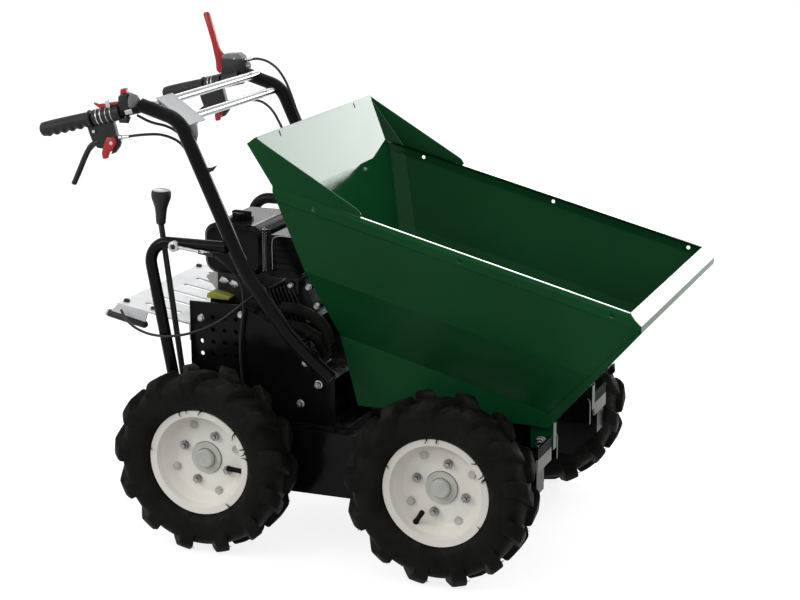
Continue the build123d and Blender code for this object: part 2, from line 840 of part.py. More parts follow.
# Label plate: its top rests on the cross tubes, its side hangs beside the right handle
(rear_tube_x, rear_tube_z), (front_tube_x, front_tube_z) = cross_tube_places
panel_thick = 2.0
panel_length = 95.0
panel_inner_y = 165.0
panel_outer_y = handle_y - handle_radius - seat_gap
panel_plane = Plane(
    origin=right(rear_tube_x, 0, rear_tube_z),
    x_dir=(front_tube_x - rear_tube_x, 0, front_tube_z - rear_tube_z),
    z_dir=(rear_tube_z - front_tube_z, 0, front_tube_x - rear_tube_x),
)
with BuildPart() as control_panel:
    with BuildSketch(panel_plane.offset(cross_tube_radius)):
        with Locations((-cross_tube_radius, -panel_outer_y)):
            Rectangle(panel_length, panel_outer_y - panel_inner_y, align=(Align.MIN, Align.MIN))
    extrude(amount=panel_thick)
    with BuildSketch(side_plane(panel_outer_y - panel_thick)):
        with BuildLine():
            Polyline(
                from_middle(
                    [(-411, 966), (-332, 911), (-315, 920), (-313, 892), (-325, 851), (-372, 928)]
                ),
                close=True,
            )
        make_face()
    extrude(amount=panel_thick)
    add(cross_tubes.part, mode=Mode.SUBTRACT)
save(control_panel, "control_panel")

# Hand levers, with a clamp round the bar, a curved blade and a parking latch
lever_inner_y = 256.0
blade_half_width = 6.0
latch_proud = 4.0
clamp_radius = grip_radius + 1
clamp_front_x = -508.0
clamp_rear_x = -546.0
with BuildPart() as hand_lever:
    with BuildSketch(side_plane(lever_inner_y)):
        with BuildLine():
            Polyline(
                from_middle(
                    [(-552, 922), (-505, 930), (-492, 878), (-492, 862), (-550, 855), (-563, 900)]
                ),
                close=True,
            )
        make_face()
    extrude(amount=hand_lever_thick)
    with BuildSketch(side_plane(lever_inner_y)):
        with BuildLine():
            FilletPolyline(
                from_middle([(-538, 870), (-566, 852), (-590, 812), (-609, 770)]), radius=[20, 60]
            )
            offset(amount=blade_half_width, side=Side.BOTH)
        make_face()
    extrude(amount=hand_lever_thick)
    with BuildSketch(side_plane(lever_inner_y + hand_lever_thick / 2)):
        with BuildLine():
            Polyline(
                from_middle(
                    [(-512, 880), (-496, 880), (-500, 858), (-518, 831), (-529, 833), (-524, 861)]
                ),
                close=True,
            )
        make_face()
    extrude(amount=hand_lever_thick / 2 + latch_proud)
    add(bar_rod(clamp_front_x, clamp_rear_x, clamp_radius))
    add(bar_hole, mode=Mode.SUBTRACT)
    add(
        bar_rod(grip_start_x + seat_gap, grip_end_x, grip_collar_radius + seat_gap),
        mode=Mode.SUBTRACT,
    )
save(hand_lever, "clutch_lever")

# Drive lever, tall and upright on the left bar, beside the left hand lever
drive_inner_y = 258.0
drive_housing_width = 24.0
drive_arm_inset = 5.0
drive_arm_width = 14.0
drive_clamp_front_x = -450.0
drive_clamp_rear_x = -500.0
with BuildPart() as drive_lever:
    with BuildSketch(side_plane(drive_inner_y)):
        with BuildLine():
            Polyline(
                from_middle([(-499, 944), (-493, 988), (-463, 992), (-443, 966), (-446, 944)]),
                close=True,
            )
        make_face()
    extrude(amount=drive_housing_width)
    with BuildSketch(side_plane(drive_inner_y + drive_arm_inset)):
        with BuildLine():
            Polyline(
                from_middle(
                    [(-518, 946), (-533, 1025), (-551, 1090), (-537, 1092), (-519, 1027), (-486, 966)]
                ),
                close=True,
            )
        make_face()
    extrude(amount=drive_arm_width)
    add(bar_rod(drive_clamp_front_x, drive_clamp_rear_x, clamp_radius))
    add(bar_hole, mode=Mode.SUBTRACT)
    add(handle.part, mode=Mode.SUBTRACT)
with BuildPart() as left_controls:
    mirror(drive_lever.part, about=Plane.XZ)
    mirror(hand_lever.part, about=Plane.XZ)
save(left_controls, "drive_lever")

switch_inner_y = 246.0
switch_width = 26.0
with BuildPart() as switch_box:
    with BuildSketch(side_plane(switch_inner_y)):
        with BuildLine():
            Polyline(
                from_middle(
                    [(-482, 938), (-480, 974), (-462, 975), (-445, 967), (-441, 950), (-450, 933)]
                ),
                close=True,
            )
        make_face()
    extrude(amount=switch_width)
    add(handle.part, mode=Mode.SUBTRACT)
    add(bar_hole, mode=Mode.SUBTRACT)
save(switch_box, "switch_box")

gear_block_length = 26.0
gear_block_width = 24.0
gear_block_height = 26.0
lever_foot = right(foot_x, knob_y, rail_top_z + gear_block_height - 6)
lever_top = right(-433, knob_y, 690)
knob_outline = [(0, -8), (9, -8), (12, 0), (20, 48), (18, 62), (8, 70), (0, 71)]
with BuildPart() as gear_lever:
    add(rod(lever_foot, lever_top, gear_rod_radius))
    knob_base = Plane(origin=lever_top, z_dir=Vector(lever_top) - Vector(lever_foot))
    with BuildSketch(Plane(origin=knob_base.origin, x_dir=(0, 1, 0), z_dir=knob_base.x_dir)):
        with BuildLine():
            Polyline(*knob_outline, close=True)
        make_face()
    revolve(axis=Axis(knob_base.origin, knob_base.z_dir))
    with BuildSketch(Plane.XY.offset(rail_top_z)):
        with Locations((mid_x + foot_x, -knob_y)):
            Rectangle(gear_block_length, gear_block_width)
    extrude(amount=gear_block_height)
save(gear_lever, "gear_lever")

# Slotted tray behind the engine
tray_length = 182.0
tray_rise = 30.0
tray_front_z = 460.0
tray_flange = 35.0
tray_half_y = 204.0
tray_bar_radius = 8.0
tray_front_x = side_plate_rear_x
tray_rear_x = tray_front_x - tray_length
tray_rear_z = tray_front_z + tray_rise
slot_count = 6
slot_pitch = 62.0
slot_width = 14.0
wing_front_x = tray_front_x - 105
wing_drop = 40.0
with BuildPart() as tray:
    with BuildSketch(side_plane(-tray_half_y)):
        with BuildLine():
            Polyline(
                (tray_rear_x, tray_rear_z),
                (tray_front_x - sheet, tray_front_z),
                (tray_front_x - sheet, tray_front_z - tray_flange),
                (tray_front_x, tray_front_z - tray_flange),
                (tray_front_x, tray_front_z + sheet),
                (tray_rear_x, tray_rear_z + sheet),
                close=True,
            )
        make_face()
    extrude(amount=2 * tray_half_y)
    with BuildSketch(side_plane(tray_half_y - sheet)):
        with BuildLine():
            Polyline(
                (tray_rear_x, tray_rear_z),
                (wing_front_x, tray_rear_z - 12),
                (wing_front_x - 10, tray_rear_z - wing_drop),
                (tray_rear_x - 21, tray_rear_z - 21),
                close=True,
            )
        make_face()
    extrude(amount=sheet)
    bar_y = tray_half_y - tray_bar_radius / 2
    add(
        rod(
            (tray_rear_x - 29, -bar_y, tray_rear_z - 21),
            (tray_rear_x + 66, -bar_y, tray_rear_z - wing_drop - 2),
            tray_bar_radius,
        )
    )
    mirror(about=Plane.XZ)
    with BuildSketch(Plane.XY.offset(tray_front_z - tray_flange)):
        with Locations(((tray_rear_x + tray_front_x) / 2, 0)):
            with GridLocations(1, slot_pitch, 1, slot_count):
                SlotOverall(tray_length / 2, slot_width)
    extrude(amount=100, mode=Mode.SUBTRACT)
save(tray, "rear_tray")

# Control cables
def cable(points):
    """A cable along straight runs joined by arcs, each as large as its two runs allow."""
    corners = [Vector(*point) for point in points]
    radii = []
    for before, corner, after in zip(corners, corners[1:], corners[2:]):
        turn = (corner - before).get_angle(after - corner)
        shorter = min((corner - before).length, (after - corner).length)
        radii.append(0.45 * shorter / tan(radians(turn / 2)))
    print("cable radii", [round(radius) for radius in radii])
    return swept_tube(points, radii, cable_radius)


plate_side_y = rail_inner_y + side_plate_thick + 9
rail_seat_z = rail_top_z + seat_gap
engine_seat_y = -crankcase_near_y + seat_gap + 0.6 * cable_radius  # clears the tilted end
clutch_route = [
    (-488, 262, 879),
    (-440, 260, 888),
    (-395, 246, 890),
    (-357, 231, 872),
    (-325, 229, 815),
    (-288, 229, 735),
    (-252, 229, 655),
    (-226, 226, 600),
    (-212, 205, 565),
    (-218, 172, 546),
    (-238, 145, 536),
    (-252, engine_seat_y, 533),
]
throttle_route = [
    (-452, 250, 928),
    (-425, 240, 912),
    (-390, 226, 904),
    (-352, 221, 880),
    (-318, 220, 822),
    (-281, 220, 742),
    (-245, 220, 664),
    (-222, 214, 612),
    (-218, 190, 582),
    (-232, 163, 560),
    (-256, 143, 553),
    (-272, engine_seat_y, 552),
]
gear_route = [
    (-268, 270, 640),
    (-251, 258, 622),
    (-238, 240, 600),
    (-229, 224, 574),
    (-227, 215, 540),
    (-230, plate_side_y, 502),
    (-237, plate_side_y, 462),
    (-240, plate_side_y, 425),
    (-239, plate_side_y, 385),
    (-235, plate_side_y, 330),
    (-234, plate_side_y, rail_seat_z),
]
tray_route = [
    (-532, 213, 480),
    (-508, 236, 466),
    (-472, 258, 455),
    (-430, 272, 449),
    (-388, 275, 449),
    (-345, 271, 456),
    (-305, 262, 469),
    (-270, 248, 488),
    (-242, 234, 510),
    (-218, 223, 532),
    (-203, 204, 543),
    (-210, 175, 541),
    (-232, 150, 530),
    (-252, engine_seat_y, 518),
]
drive_route = [
    (-441, 268, 981),
    (-415, 267, 987),
    (-386, 262, 983),
    (-357, 253, 970),
    (-331, 243, 944),
    (-312, 236, 908),
    (-296, 233, 866),
    (-271, 231, 812),
    (-240, 230, 744),
    (-211, 228, 678),
    (-196, 222, 622),
    (-207, 215, 575),
    (-222, plate_side_y, 528),
    (-233, plate_side_y, 480),
    (-239, plate_side_y, 425),
    (-239, plate_side_y, 365),
    (-236, plate_side_y, 310),
    (-236, plate_side_y, rail_seat_z),
]
left_clutch_route = [
    (-488, 262, 879),
    (-440, 260, 888),
    (-395, 244, 891),
    (-357, 226, 874),
    (-323, 221, 818),
    (-286, 221, 738),
    (-250, 221, 660),
    (-226, 218, 604),
    (-226, 213, 555),
    (-246, plate_side_y, 505),
    (-256, plate_side_y, 450),
    (-256, plate_side_y, 395),
    (-254, plate_side_y, 335),
    (-254, plate_side_y, rail_seat_z),
]
eye_x = -362.0
eye_y = handle_y + loop_radius + seat_gap
eye_z = loop_top_z - 3
eye_thick = 8.0
eye_radius = 11.0
ferrule_start = right(-302, 273, 645)
ferrule_radius = 5.0
gear_cable_start = right(*gear_route[0])
with BuildPart() as cables:
    for route in (clutch_route, throttle_route, gear_route, tray_route):
        add(cable([right(*point) for point in route]))
    for route in (drive_route, left_clutch_route):
        add(cable([left(*point) for point in route]))
    # The rod end on the right support loop pulls the gear cable
    with BuildSketch(side_plane(eye_y)):
        with Locations((mid_x + eye_x, eye_z)):
            Circle(eye_radius)
    extrude(amount=eye_thick)
    add(rod(right(eye_x, eye_y + eye_thick / 2, eye_z), gear_cable_start, cable_radius))
    add(rod(ferrule_start, gear_cable_start, ferrule_radius))
save(cables, "cables")
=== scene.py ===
import bmesh
import bpy
import math
import random
from mathutils import Matrix, Vector


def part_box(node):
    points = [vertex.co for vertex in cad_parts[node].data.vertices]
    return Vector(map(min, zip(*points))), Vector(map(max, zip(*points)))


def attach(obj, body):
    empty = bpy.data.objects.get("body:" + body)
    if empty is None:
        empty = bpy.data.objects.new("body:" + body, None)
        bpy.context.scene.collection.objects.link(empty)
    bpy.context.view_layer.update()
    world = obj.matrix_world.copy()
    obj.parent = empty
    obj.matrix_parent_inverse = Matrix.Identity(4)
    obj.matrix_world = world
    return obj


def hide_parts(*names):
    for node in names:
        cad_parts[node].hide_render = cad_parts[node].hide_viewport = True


# The looks of a walk-behind site dumper: materials for its CAD nodes, small pieces, camera and studio.
# Outlines, and the places that at() turns into metres, are millimetres. So are lengths whose docstring or
# comment says so, and all other lengths are metres.

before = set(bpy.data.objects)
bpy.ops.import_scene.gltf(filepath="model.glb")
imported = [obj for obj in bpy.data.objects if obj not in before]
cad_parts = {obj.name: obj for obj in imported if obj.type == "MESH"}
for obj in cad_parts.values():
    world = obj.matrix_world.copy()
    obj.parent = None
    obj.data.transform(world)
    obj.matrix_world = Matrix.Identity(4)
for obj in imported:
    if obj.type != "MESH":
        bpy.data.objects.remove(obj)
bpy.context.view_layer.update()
random.seed(7)

MM = 0.001
RIGHT, LEFT = -1, 1  # the sign of y on each side of the machine
WHEELS = ("front_left", "front_right", "rear_left", "rear_right")
MID_X = (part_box("tyre_rear_right")[0].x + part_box("tyre_front_right")[1].x) / 2  # mid-wheelbase


# Node helpers
def add_node(tree, kind, inputs=None, **settings):
    """Adds a node, sets its options, and links or sets its inputs."""
    node = tree.nodes.new(kind)
    for key, value in settings.items():
        setattr(node, key, value)
    for key, value in (inputs or {}).items():
        if isinstance(value, bpy.types.NodeSocket):
            tree.links.new(value, node.inputs[key])
        else:
            node.inputs[key].default_value = value
    return node


def calculate(tree, operation, *values):
    """The result of a math node."""
    return add_node(tree, "ShaderNodeMath", dict(enumerate(values)), operation=operation).outputs[0]


def noise(tree, coordinates, scale, detail, stretch=(1, 1, 1)):
    """A noise value that may be stretched along the axes."""
    mapping = add_node(tree, "ShaderNodeMapping", {"Vector": coordinates, "Scale": stretch})
    inputs = {"Vector": mapping.outputs[0], "Scale": scale, "Detail": detail}
    return add_node(tree, "ShaderNodeTexNoise", inputs).outputs["Fac"]


def spread(tree, value, low, high, to_low=0.0, to_high=1.0):
    """Maps a value's range to another one, clamped."""
    inputs = {"Value": value, "From Min": low, "From Max": high, "To Min": to_low, "To Max": to_high}
    return add_node(tree, "ShaderNodeMapRange", inputs).outputs[0]


def blend_colours(tree, share, first, second):
    """A colour between two, each a socket or three numbers."""
    node = add_node(tree, "ShaderNodeMix", {"Factor": share}, data_type="RGBA")
    for socket, colour in ((6, first), (7, second)):
        if isinstance(colour, bpy.types.NodeSocket):
            tree.links.new(colour, node.inputs[socket])
        else:
            node.inputs[socket].default_value = (*colour, 1)
    return node.outputs[2]


# Materials
DUST_COLOUR = (0.35, 0.33, 0.30)
SHADE_BORDER = 0.0005  # half the width in which a colour gives way to the painted shade beyond it


def add_dust(tree, place, colour, amount):
    """The colour with dust settled on what faces up."""
    normal = add_node(tree, "ShaderNodeTexCoord").outputs["Normal"]
    upward = spread(tree, add_node(tree, "ShaderNodeSeparateXYZ", {0: normal}).outputs[2], 0.2, 1.0)
    speckle = spread(tree, noise(tree, place, 45.0, 6.0), 0.42, 0.75)
    share = calculate(tree, "MULTIPLY", calculate(tree, "MULTIPLY", upward, speckle), amount)
    return blend_colours(tree, share, colour, DUST_COLOUR)


def add_painted_shade(tree, place, colour, axis, border, second):
    """The colour, and a second, dark colour of painted shade where the place along an axis is beyond a
    border.
    """
    along = add_node(tree, "ShaderNodeSeparateXYZ", {0: place}).outputs[axis]
    share = spread(tree, along, border - SHADE_BORDER, border + SHADE_BORDER)
    return blend_colours(tree, share, colour, second)


def surface(
    name,
    dark,
    light,
    rough,
    patch_scale,
    grain_scale,
    grain_height,
    metal=0.0,
    gloss=0.5,
    stretch=(1, 1, 1),
    edge=0.0,
    dust=0.0,
    painted_shade=None,
):
    """A finish whose tone drifts over the surface, with a fine grain, rounded edges and settled dust."""
    material = bpy.data.materials.new(name)
    material.use_nodes = True
    tree = material.node_tree
    shader = tree.nodes["Principled BSDF"]
    place = add_node(tree, "ShaderNodeTexCoord").outputs["Object"]
    patches = spread(tree, noise(tree, place, patch_scale, 4.0, stretch), 0.35, 0.65)
    colour = blend_colours(tree, patches, dark, light)
    if dust:
        colour = add_dust(tree, place, colour, dust)
    if painted_shade:
        colour = add_painted_shade(tree, place, colour, *painted_shade)
    tree.links.new(colour, shader.inputs["Base Color"])
    smear = noise(tree, place, patch_scale * 5, 5.0, stretch)
    tree.links.new(spread(tree, smear, 0.3, 0.7, *rough), shader.inputs["Roughness"])
    shader.inputs["Metallic"].default_value = metal
    shader.inputs["Specular IOR Level"].default_value = gloss
    grain = noise(tree, place, grain_scale, 2.0, stretch)
    bump_inputs = {"Height": grain, "Strength": grain_height, "Distance": 0.001}
    bump = add_node(tree, "ShaderNodeBump", bump_inputs)
    if edge:
        rounded = add_node(tree, "ShaderNodeBevel", {"Radius": edge}, samples=4)
        tree.links.new(rounded.outputs[0], bump.inputs["Normal"])
    tree.links.new(bump.outputs[0], shader.inputs["Normal"])
    return material


GREEN = surface(
    "green_paint", (0.0044, 0.052, 0.0150), (0.0060, 0.066, 0.0192), (0.28, 0.40), gloss=0.06,
    patch_scale=3.0, grain_scale=90.0, grain_height=0.02, edge=0.0012,
)
# The sides' green paint, glossier, and painted lighter as painted light on the back, floor and hinge
POLISHED_LIT_GREEN = surface(
    "green_paint_polished_painted_light", (0.0060, 0.066, 0.0205), (0.0075, 0.080, 0.0250), (0.03, 0.09), gloss=0.10,
    patch_scale=3.0, grain_scale=90.0, grain_height=0.02, edge=0.0012,
)
CREAM = surface(
    "cream_paint", (0.80, 0.78, 0.71), (0.88, 0.86, 0.79), (0.32, 0.48), gloss=0.3,
    patch_scale=9.0, grain_scale=160.0, grain_height=0.03, edge=0.0008,
)
BLACK = surface(
    "black_paint", (0.0030, 0.0030, 0.0036), (0.0055, 0.0055, 0.0062), (0.12, 0.26), gloss=0.08,
    patch_scale=6.0, grain_scale=120.0, grain_height=0.03, edge=0.0008, dust=0.05,
)
GREY = surface(
    "grey_sheet", (0.36, 0.37, 0.39), (0.46, 0.47, 0.48), (0.30, 0.45), gloss=0.3,
    patch_scale=8.0, grain_scale=220.0, grain_height=0.03, edge=0.0006,
)
RUBBER = surface(
    "tyre_rubber", (0.0040, 0.0040, 0.0036), (0.0095, 0.0093, 0.0083), (0.50, 0.72), gloss=0.06,
    patch_scale=14.0, grain_scale=700.0, grain_height=0.20, dust=0.05,
)
GRIP = surface(
    "grip_rubber", (0.010, 0.010, 0.011), (0.018, 0.018, 0.019), (0.42, 0.60), gloss=0.25,
    patch_scale=30.0, grain_scale=1500.0, grain_height=0.20,
)
PLASTIC = surface(
    "black_plastic", (0.008, 0.008, 0.009), (0.016, 0.016, 0.018), (0.32, 0.46), gloss=0.25,
    patch_scale=20.0, grain_scale=1100.0, grain_height=0.12, edge=0.0005,
)
RED = surface(
    "red_plastic", (0.36, 0.010, 0.020), (0.48, 0.016, 0.030), (0.22, 0.36), gloss=0.35,
    patch_scale=22.0, grain_scale=700.0, grain_height=0.04, edge=0.0005,
)
STEEL = surface(
    "bright_steel", (0.30, 0.31, 0.32), (0.42, 0.43, 0.44), (0.12, 0.22), metal=1.0,
    patch_scale=10.0, grain_scale=260.0, grain_height=0.05, stretch=(1, 0.12, 1),
)
ZINC = surface(
    "zinc_plate", (0.34, 0.35, 0.36), (0.50, 0.51, 0.52), (0.24, 0.42), metal=1.0,
    patch_scale=60.0, grain_scale=900.0, grain_height=0.08, edge=0.0004,
)
DARK_ZINC = surface(
    "dark_zinc", (0.20, 0.20, 0.20), (0.32, 0.32, 0.32), (0.24, 0.40), metal=1.0,
    patch_scale=60.0, grain_scale=900.0, grain_height=0.08, edge=0.0004,
)
DARK_ALLOY = surface(
    "cast_alloy", (0.010, 0.010, 0.011), (0.026, 0.026, 0.028), (0.30, 0.46), gloss=0.22,
    patch_scale=24.0, grain_scale=420.0, grain_height=0.25, edge=0.0006,
)
PALE = surface(
    "pale_zinc_sheet", (0.60, 0.61, 0.62), (0.74, 0.75, 0.76), (0.28, 0.42), gloss=0.3,
    patch_scale=9.0, grain_scale=240.0, grain_height=0.03, edge=0.0006,
)
# Pale metal that paints the highlight along the skip's top edges
EDGE = surface(
    "painted_highlight_edge", (0.70, 0.78, 0.73), (0.82, 0.88, 0.84), (0.14, 0.26), metal=1.0,
    patch_scale=9.0, grain_scale=240.0, grain_height=0.03,
)
HUB = surface(
    "hub_casting", (0.46, 0.46, 0.43), (0.58, 0.58, 0.54), (0.26, 0.40), gloss=0.4,
    patch_scale=30.0, grain_scale=500.0, grain_height=0.08, edge=0.0005,
)
MACHINED = surface(
    "machined_alloy", (0.40, 0.40, 0.40), (0.56, 0.56, 0.55), (0.30, 0.46), gloss=0.4,
    patch_scale=40.0, grain_scale=500.0, grain_height=0.10, edge=0.0006,
)
CASTING = surface(
    "grey_casting", (0.12, 0.12, 0.12), (0.20, 0.20, 0.195), (0.40, 0.56), gloss=0.3,
    patch_scale=26.0, grain_scale=500.0, grain_height=0.25, edge=0.0006,
)
FILLER = surface(
    "filler_plastic", (0.34, 0.36, 0.06), (0.44, 0.46, 0.09), (0.34, 0.48), gloss=0.3,
    patch_scale=30.0, grain_scale=800.0, grain_height=0.06, edge=0.0005,
)
plates_low, plates_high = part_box("front_plates")
PLATE = surface(  # grey below, and black above as painted shade on the plates' upper part
    "front_plate_grey_and_painted_shade", (0.26, 0.26, 0.24), (0.37, 0.37, 0.34), (0.40, 0.56), gloss=0.02,
    patch_scale=9.0, grain_scale=240.0, grain_height=0.03, edge=0.0006,
    painted_shade=(2, plates_low.z + 0.55 * (plates_high.z - plates_low.z), (0.005, 0.005, 0.006)),
)

NODE_MATERIALS = {
    "skip": GREEN, "skip_back": POLISHED_LIT_GREEN, "skip_floor": POLISHED_LIT_GREEN, "hinge": POLISHED_LIT_GREEN,
    "skip_bearers": BLACK, "rim": CREAM, "tyre": RUBBER, "hub": HUB, "grips": GRIP,
    "cross_tubes": STEEL, "control_panel": GREY, "rear_tray": PALE, "front_plates": PLATE,
    "engine": DARK_ALLOY, "engine_deck": BLACK, "cables": PLASTIC, "clutch_lever": PLASTIC,
    "drive_lever": RED, "switch_box": PLASTIC, "gear_lever": PLASTIC, "air_cleaner": PLASTIC,
}


def node_material(name):
    """The longest listed beginning of the node's name gives its material, and other nodes are black."""
    found = [start for start in NODE_MATERIALS if name.startswith(start)]
    return NODE_MATERIALS[max(found, key=len)] if found else BLACK


for node_name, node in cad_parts.items():
    if not node.material_slots:
        node.data.materials.append(None)
    for material_slot in node.material_slots:
        material_slot.material = node_material(node_name)


# Mesh helpers
def at(x, y, z):
    """A point from millimetres, with X counted from the middle of the wheelbase."""
    return Vector((MID_X + x * MM, y * MM, z * MM))


def in_metres(pairs):
    """Pairs of millimetres as pairs of metres."""
    return [(first * MM, second * MM) for first, second in pairs]


def new_meshes(count):
    """Empty meshes, one for each piece."""
    return [bmesh.new() for _ in range(count)]


def piece_from(bm, name, material, body, sharp=35.0):
    """Turns a bmesh into a piece that rides on a body."""
    bmesh.ops.recalc_face_normals(bm, faces=bm.faces)
    mesh = bpy.data.meshes.new(name)
    bm.to_mesh(mesh)
    bm.free()
    for polygon in mesh.polygons:
        polygon.use_smooth = True
    mesh.set_sharp_from_angle(angle=math.radians(sharp))
    mesh.materials.append(material)
    piece = bpy.data.objects.new(name, mesh)
    bpy.context.scene.collection.objects.link(piece)
    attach(piece, body)
    return piece


def add_skin(bm, rings):
    """Joins rings of vertices one after the other, and closes both ends."""
    count = len(rings[0])
    for lower, upper in zip(rings, rings[1:]):
        for step in range(count):
            after = (step + 1) % count
            bm.faces.new((lower[step], lower[after], upper[after], upper[step]))
    bm.faces.new(rings[0][::-1])
    bm.faces.new(rings[-1])


def facing(place, direction):
    """A matrix at a place, with its Z axis along a direction."""
    return Matrix.Translation(place) @ Vector(direction).to_track_quat("Z", "Y").to_matrix().to_4x4()


def add_turned(bm, profile, sides, matrix, turn=0.0):
    """Adds a closed turned form, rings of (radius, height) about the matrix's Z axis."""
    rings = []
    for radius, height in profile:
        angles = [turn + math.tau * step / sides for step in range(sides)]
        points = [Vector((radius * math.cos(a), radius * math.sin(a), height)) for a in angles]
        rings.append([bm.verts.new(matrix @ point) for point in points])
    add_skin(bm, rings)


def add_nut(bm, matrix, across=0.017, height=0.008, stud=0.005, washer=0.0105):
    """A washer, a hexagon nut with cut corners and the end of its stud."""
    corner = across / math.sqrt(3)
    lift = 0.0018
    add_turned(bm, [(washer, 0), (washer, lift * 0.8), (washer - 0.0006, lift)], 28, matrix)
    nut = [
        (corner * 0.93, lift), (corner, lift + 0.0008), (corner, lift + height - 0.0012),
        (corner * 0.88, lift + height), (corner * 0.62, lift + height),
        (corner * 0.56, lift + height - 0.001),
    ]
    add_turned(bm, nut, 6, matrix, random.uniform(0, 1))
    thread = corner * 0.52
    top = lift + height + stud
    end = [(thread, lift), (thread, top - 0.001), (thread * 0.8, top), (thread * 0.3, top + 0.0002)]
    add_turned(bm, end, 16, matrix)


def add_bolt_head(bm, matrix, across, height=0.0055, washer=0.009):
    """A hexagon head with a shallow dished top on its washer."""
    corner = across / math.sqrt(3)
    lift = 0.0015
    add_turned(bm, [(washer, 0), (washer, lift * 0.7), (washer - 0.0006, lift)], 24, matrix)
    head = [
        (corner * 0.95, lift), (corner, lift + 0.0006), (corner, lift + height - 0.001),
        (corner * 0.86, lift + height), (corner * 0.7, lift + height),
        (corner * 0.6, lift + height - 0.0006),
    ]
    add_turned(bm, head, 6, matrix, random.uniform(0, 1))


def add_slab(bm, outline, inner, outer, side, edge):
    """A plate with this side-view outline between two distances from the middle, its edges rounded."""
    slab = bmesh.new()
    rings = [[slab.verts.new(at(x, side * y, z)) for x, z in outline] for y in (inner, outer)]
    slab.faces.new(rings[0])
    slab.faces.new(rings[1][::-1])
    for step in range(len(outline)):
        after = (step + 1) % len(outline)
        slab.faces.new((rings[0][step], rings[1][step], rings[1][after], rings[0][after]))
    bmesh.ops.recalc_face_normals(slab, faces=slab.faces)
    rounding = {"offset": edge * MM, "segments": 2, "profile": 0.6, "clamp_overlap": True}
    bmesh.ops.bevel(slab, geom=slab.edges[:], affect="EDGES", **rounding)
    passed = bpy.data.meshes.new("slab")
    slab.to_mesh(passed)
    slab.free()
    bm.from_mesh(passed)
    bpy.data.meshes.remove(passed)


def add_tube(bm, points, radii, sides, flat=1.0):
    """A closed round bar along these points, its radii in millimetres; flat widens it across the machine."""
    rings = []
    for step, point in enumerate(points):
        before, after = points[max(step - 1, 0)], points[min(step + 1, len(points) - 1)]
        ahead = (after - before).normalized()
        across = (Vector((0, 1, 0)) - ahead * ahead.y).normalized()
        up = ahead.cross(across)
        ring = []
        for corner in range(sides):
            angle = math.tau * corner / sides
            offset = across * math.cos(angle) * flat + up * math.sin(angle)
            ring.append(bm.verts.new(point + offset * radii[step] * MM))
        rings.append(ring)
    add_skin(bm, rings)


def add_stepped_rod(bm, start, end, step_share, radii):
    """A rod that narrows in one step at a share of its length, its two radii in millimetres."""
    stops = (0, step_share, step_share + 0.02, 1)
    add_tube(bm, [start.lerp(end, stop) for stop in stops], [radii[0]] * 2 + [radii[1]] * 2, 14)


def add_rounded_rod(bm, start, end, radius):
    """A rod with domed ends, its radius in millimetres."""
    ahead = (end - start).normalized()
    dome = (0.15, 0.6, 1.1, 1.57)
    points = [start + ahead * radius * MM * (1 - math.cos(angle)) for angle in dome]
    points += [end - ahead * radius * MM * (1 - math.cos(angle)) for angle in reversed(dome)]
    radii = [radius * math.sin(angle) for angle in dome]
    add_tube(bm, points, radii + radii[::-1], 18)


def smooth_path(points, steps):
    """Catmull-Rom points through these points."""
    path = []
    last = len(points) - 1
    for index in range(last):
        a, b = points[max(index - 1, 0)], points[index]
        c, d = points[index + 1], points[min(index + 2, last)]
        for step in range(steps):
            t = step / steps
            straight = 2 * b + (c - a) * t
            bent = (2 * a - 5 * b + 4 * c - d) * t * t + (3 * b - a - 3 * c + d) * t ** 3
            path.append(0.5 * (straight + bent))
    path.append(points[-1])
    return path


# Tyres
LUGS = 13
LUG_WIDTH = 27 * MM
LUG_FLARE = 0.3 / 0.055  # how much wider a lug gets, for each metre out from the middle
LUG_SLANT = math.tan(math.radians(40))
LUG_START = 3 * MM
LUG_PATH_RADIUS = 0.195
CARCASS_STEPS = 120
CARCASS = [  # (out from the middle, radius), from the crown down to the rim, then back inside
    (0, 190), (15, 189.4), (28, 187), (38, 183), (45, 178), (50, 171), (52.3, 164), (52.8, 156),
    (52.2, 148), (50.6, 139), (48.4, 131.5), (46, 127.5), (44.6, 126.2), (43.4, 125.4), (42, 122.6),
    (40, 120.4), (37, 119.2), (34, 118.4), (32, 117.2), (31.4, 114), (30.4, 104.6), (18, 101.4),
    (41, 128.5), (37, 173), (0, 181),
]
LUG_TOP = [
    (3, 188), (4.5, 199), (6, 202.3), (8, 203), (20, 203), (34, 203), (38.5, 202.3), (42.5, 199.3),
    (47.5, 193.5), (52.5, 187.2), (54.6, 183), (55, 178), (55, 169), (54.6, 163.5), (53.6, 159),
    (51.5, 153),
]
LUG_BASE = [
    (3, 186), (4.5, 186), (6, 186), (8, 186), (20, 185), (34, 182), (38.5, 179.5), (42.5, 176.5),
    (47, 172.5), (49, 169), (50.2, 166), (50.6, 163), (50.8, 159), (50.8, 156), (50.6, 153),
    (50.2, 149),
]
LUG_SECTION = [  # (share of the height, share of the width across)
    (0, -0.66), (0.3, -0.585), (0.75, -0.53), (0.93, -0.505), (1, -0.45), (1, -0.2), (1, 0.2),
    (1, 0.45), (0.93, 0.505), (0.75, 0.53), (0.3, 0.585), (0, 0.66),
]


def wheel_centre(wheel):
    """The middle of a wheel's plain tyre."""
    low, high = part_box(f"tyre_{wheel}")
    return (low + high) / 2


def wheel_side(wheel):
    """The sign of y on a wheel's side."""
    return LEFT if wheel.endswith("left") else RIGHT


def on_wheel(out, radius, angle, side):
    """A point beside the wheel's centre."""
    return Vector((radius * math.cos(angle), side * out, radius * math.sin(angle)))


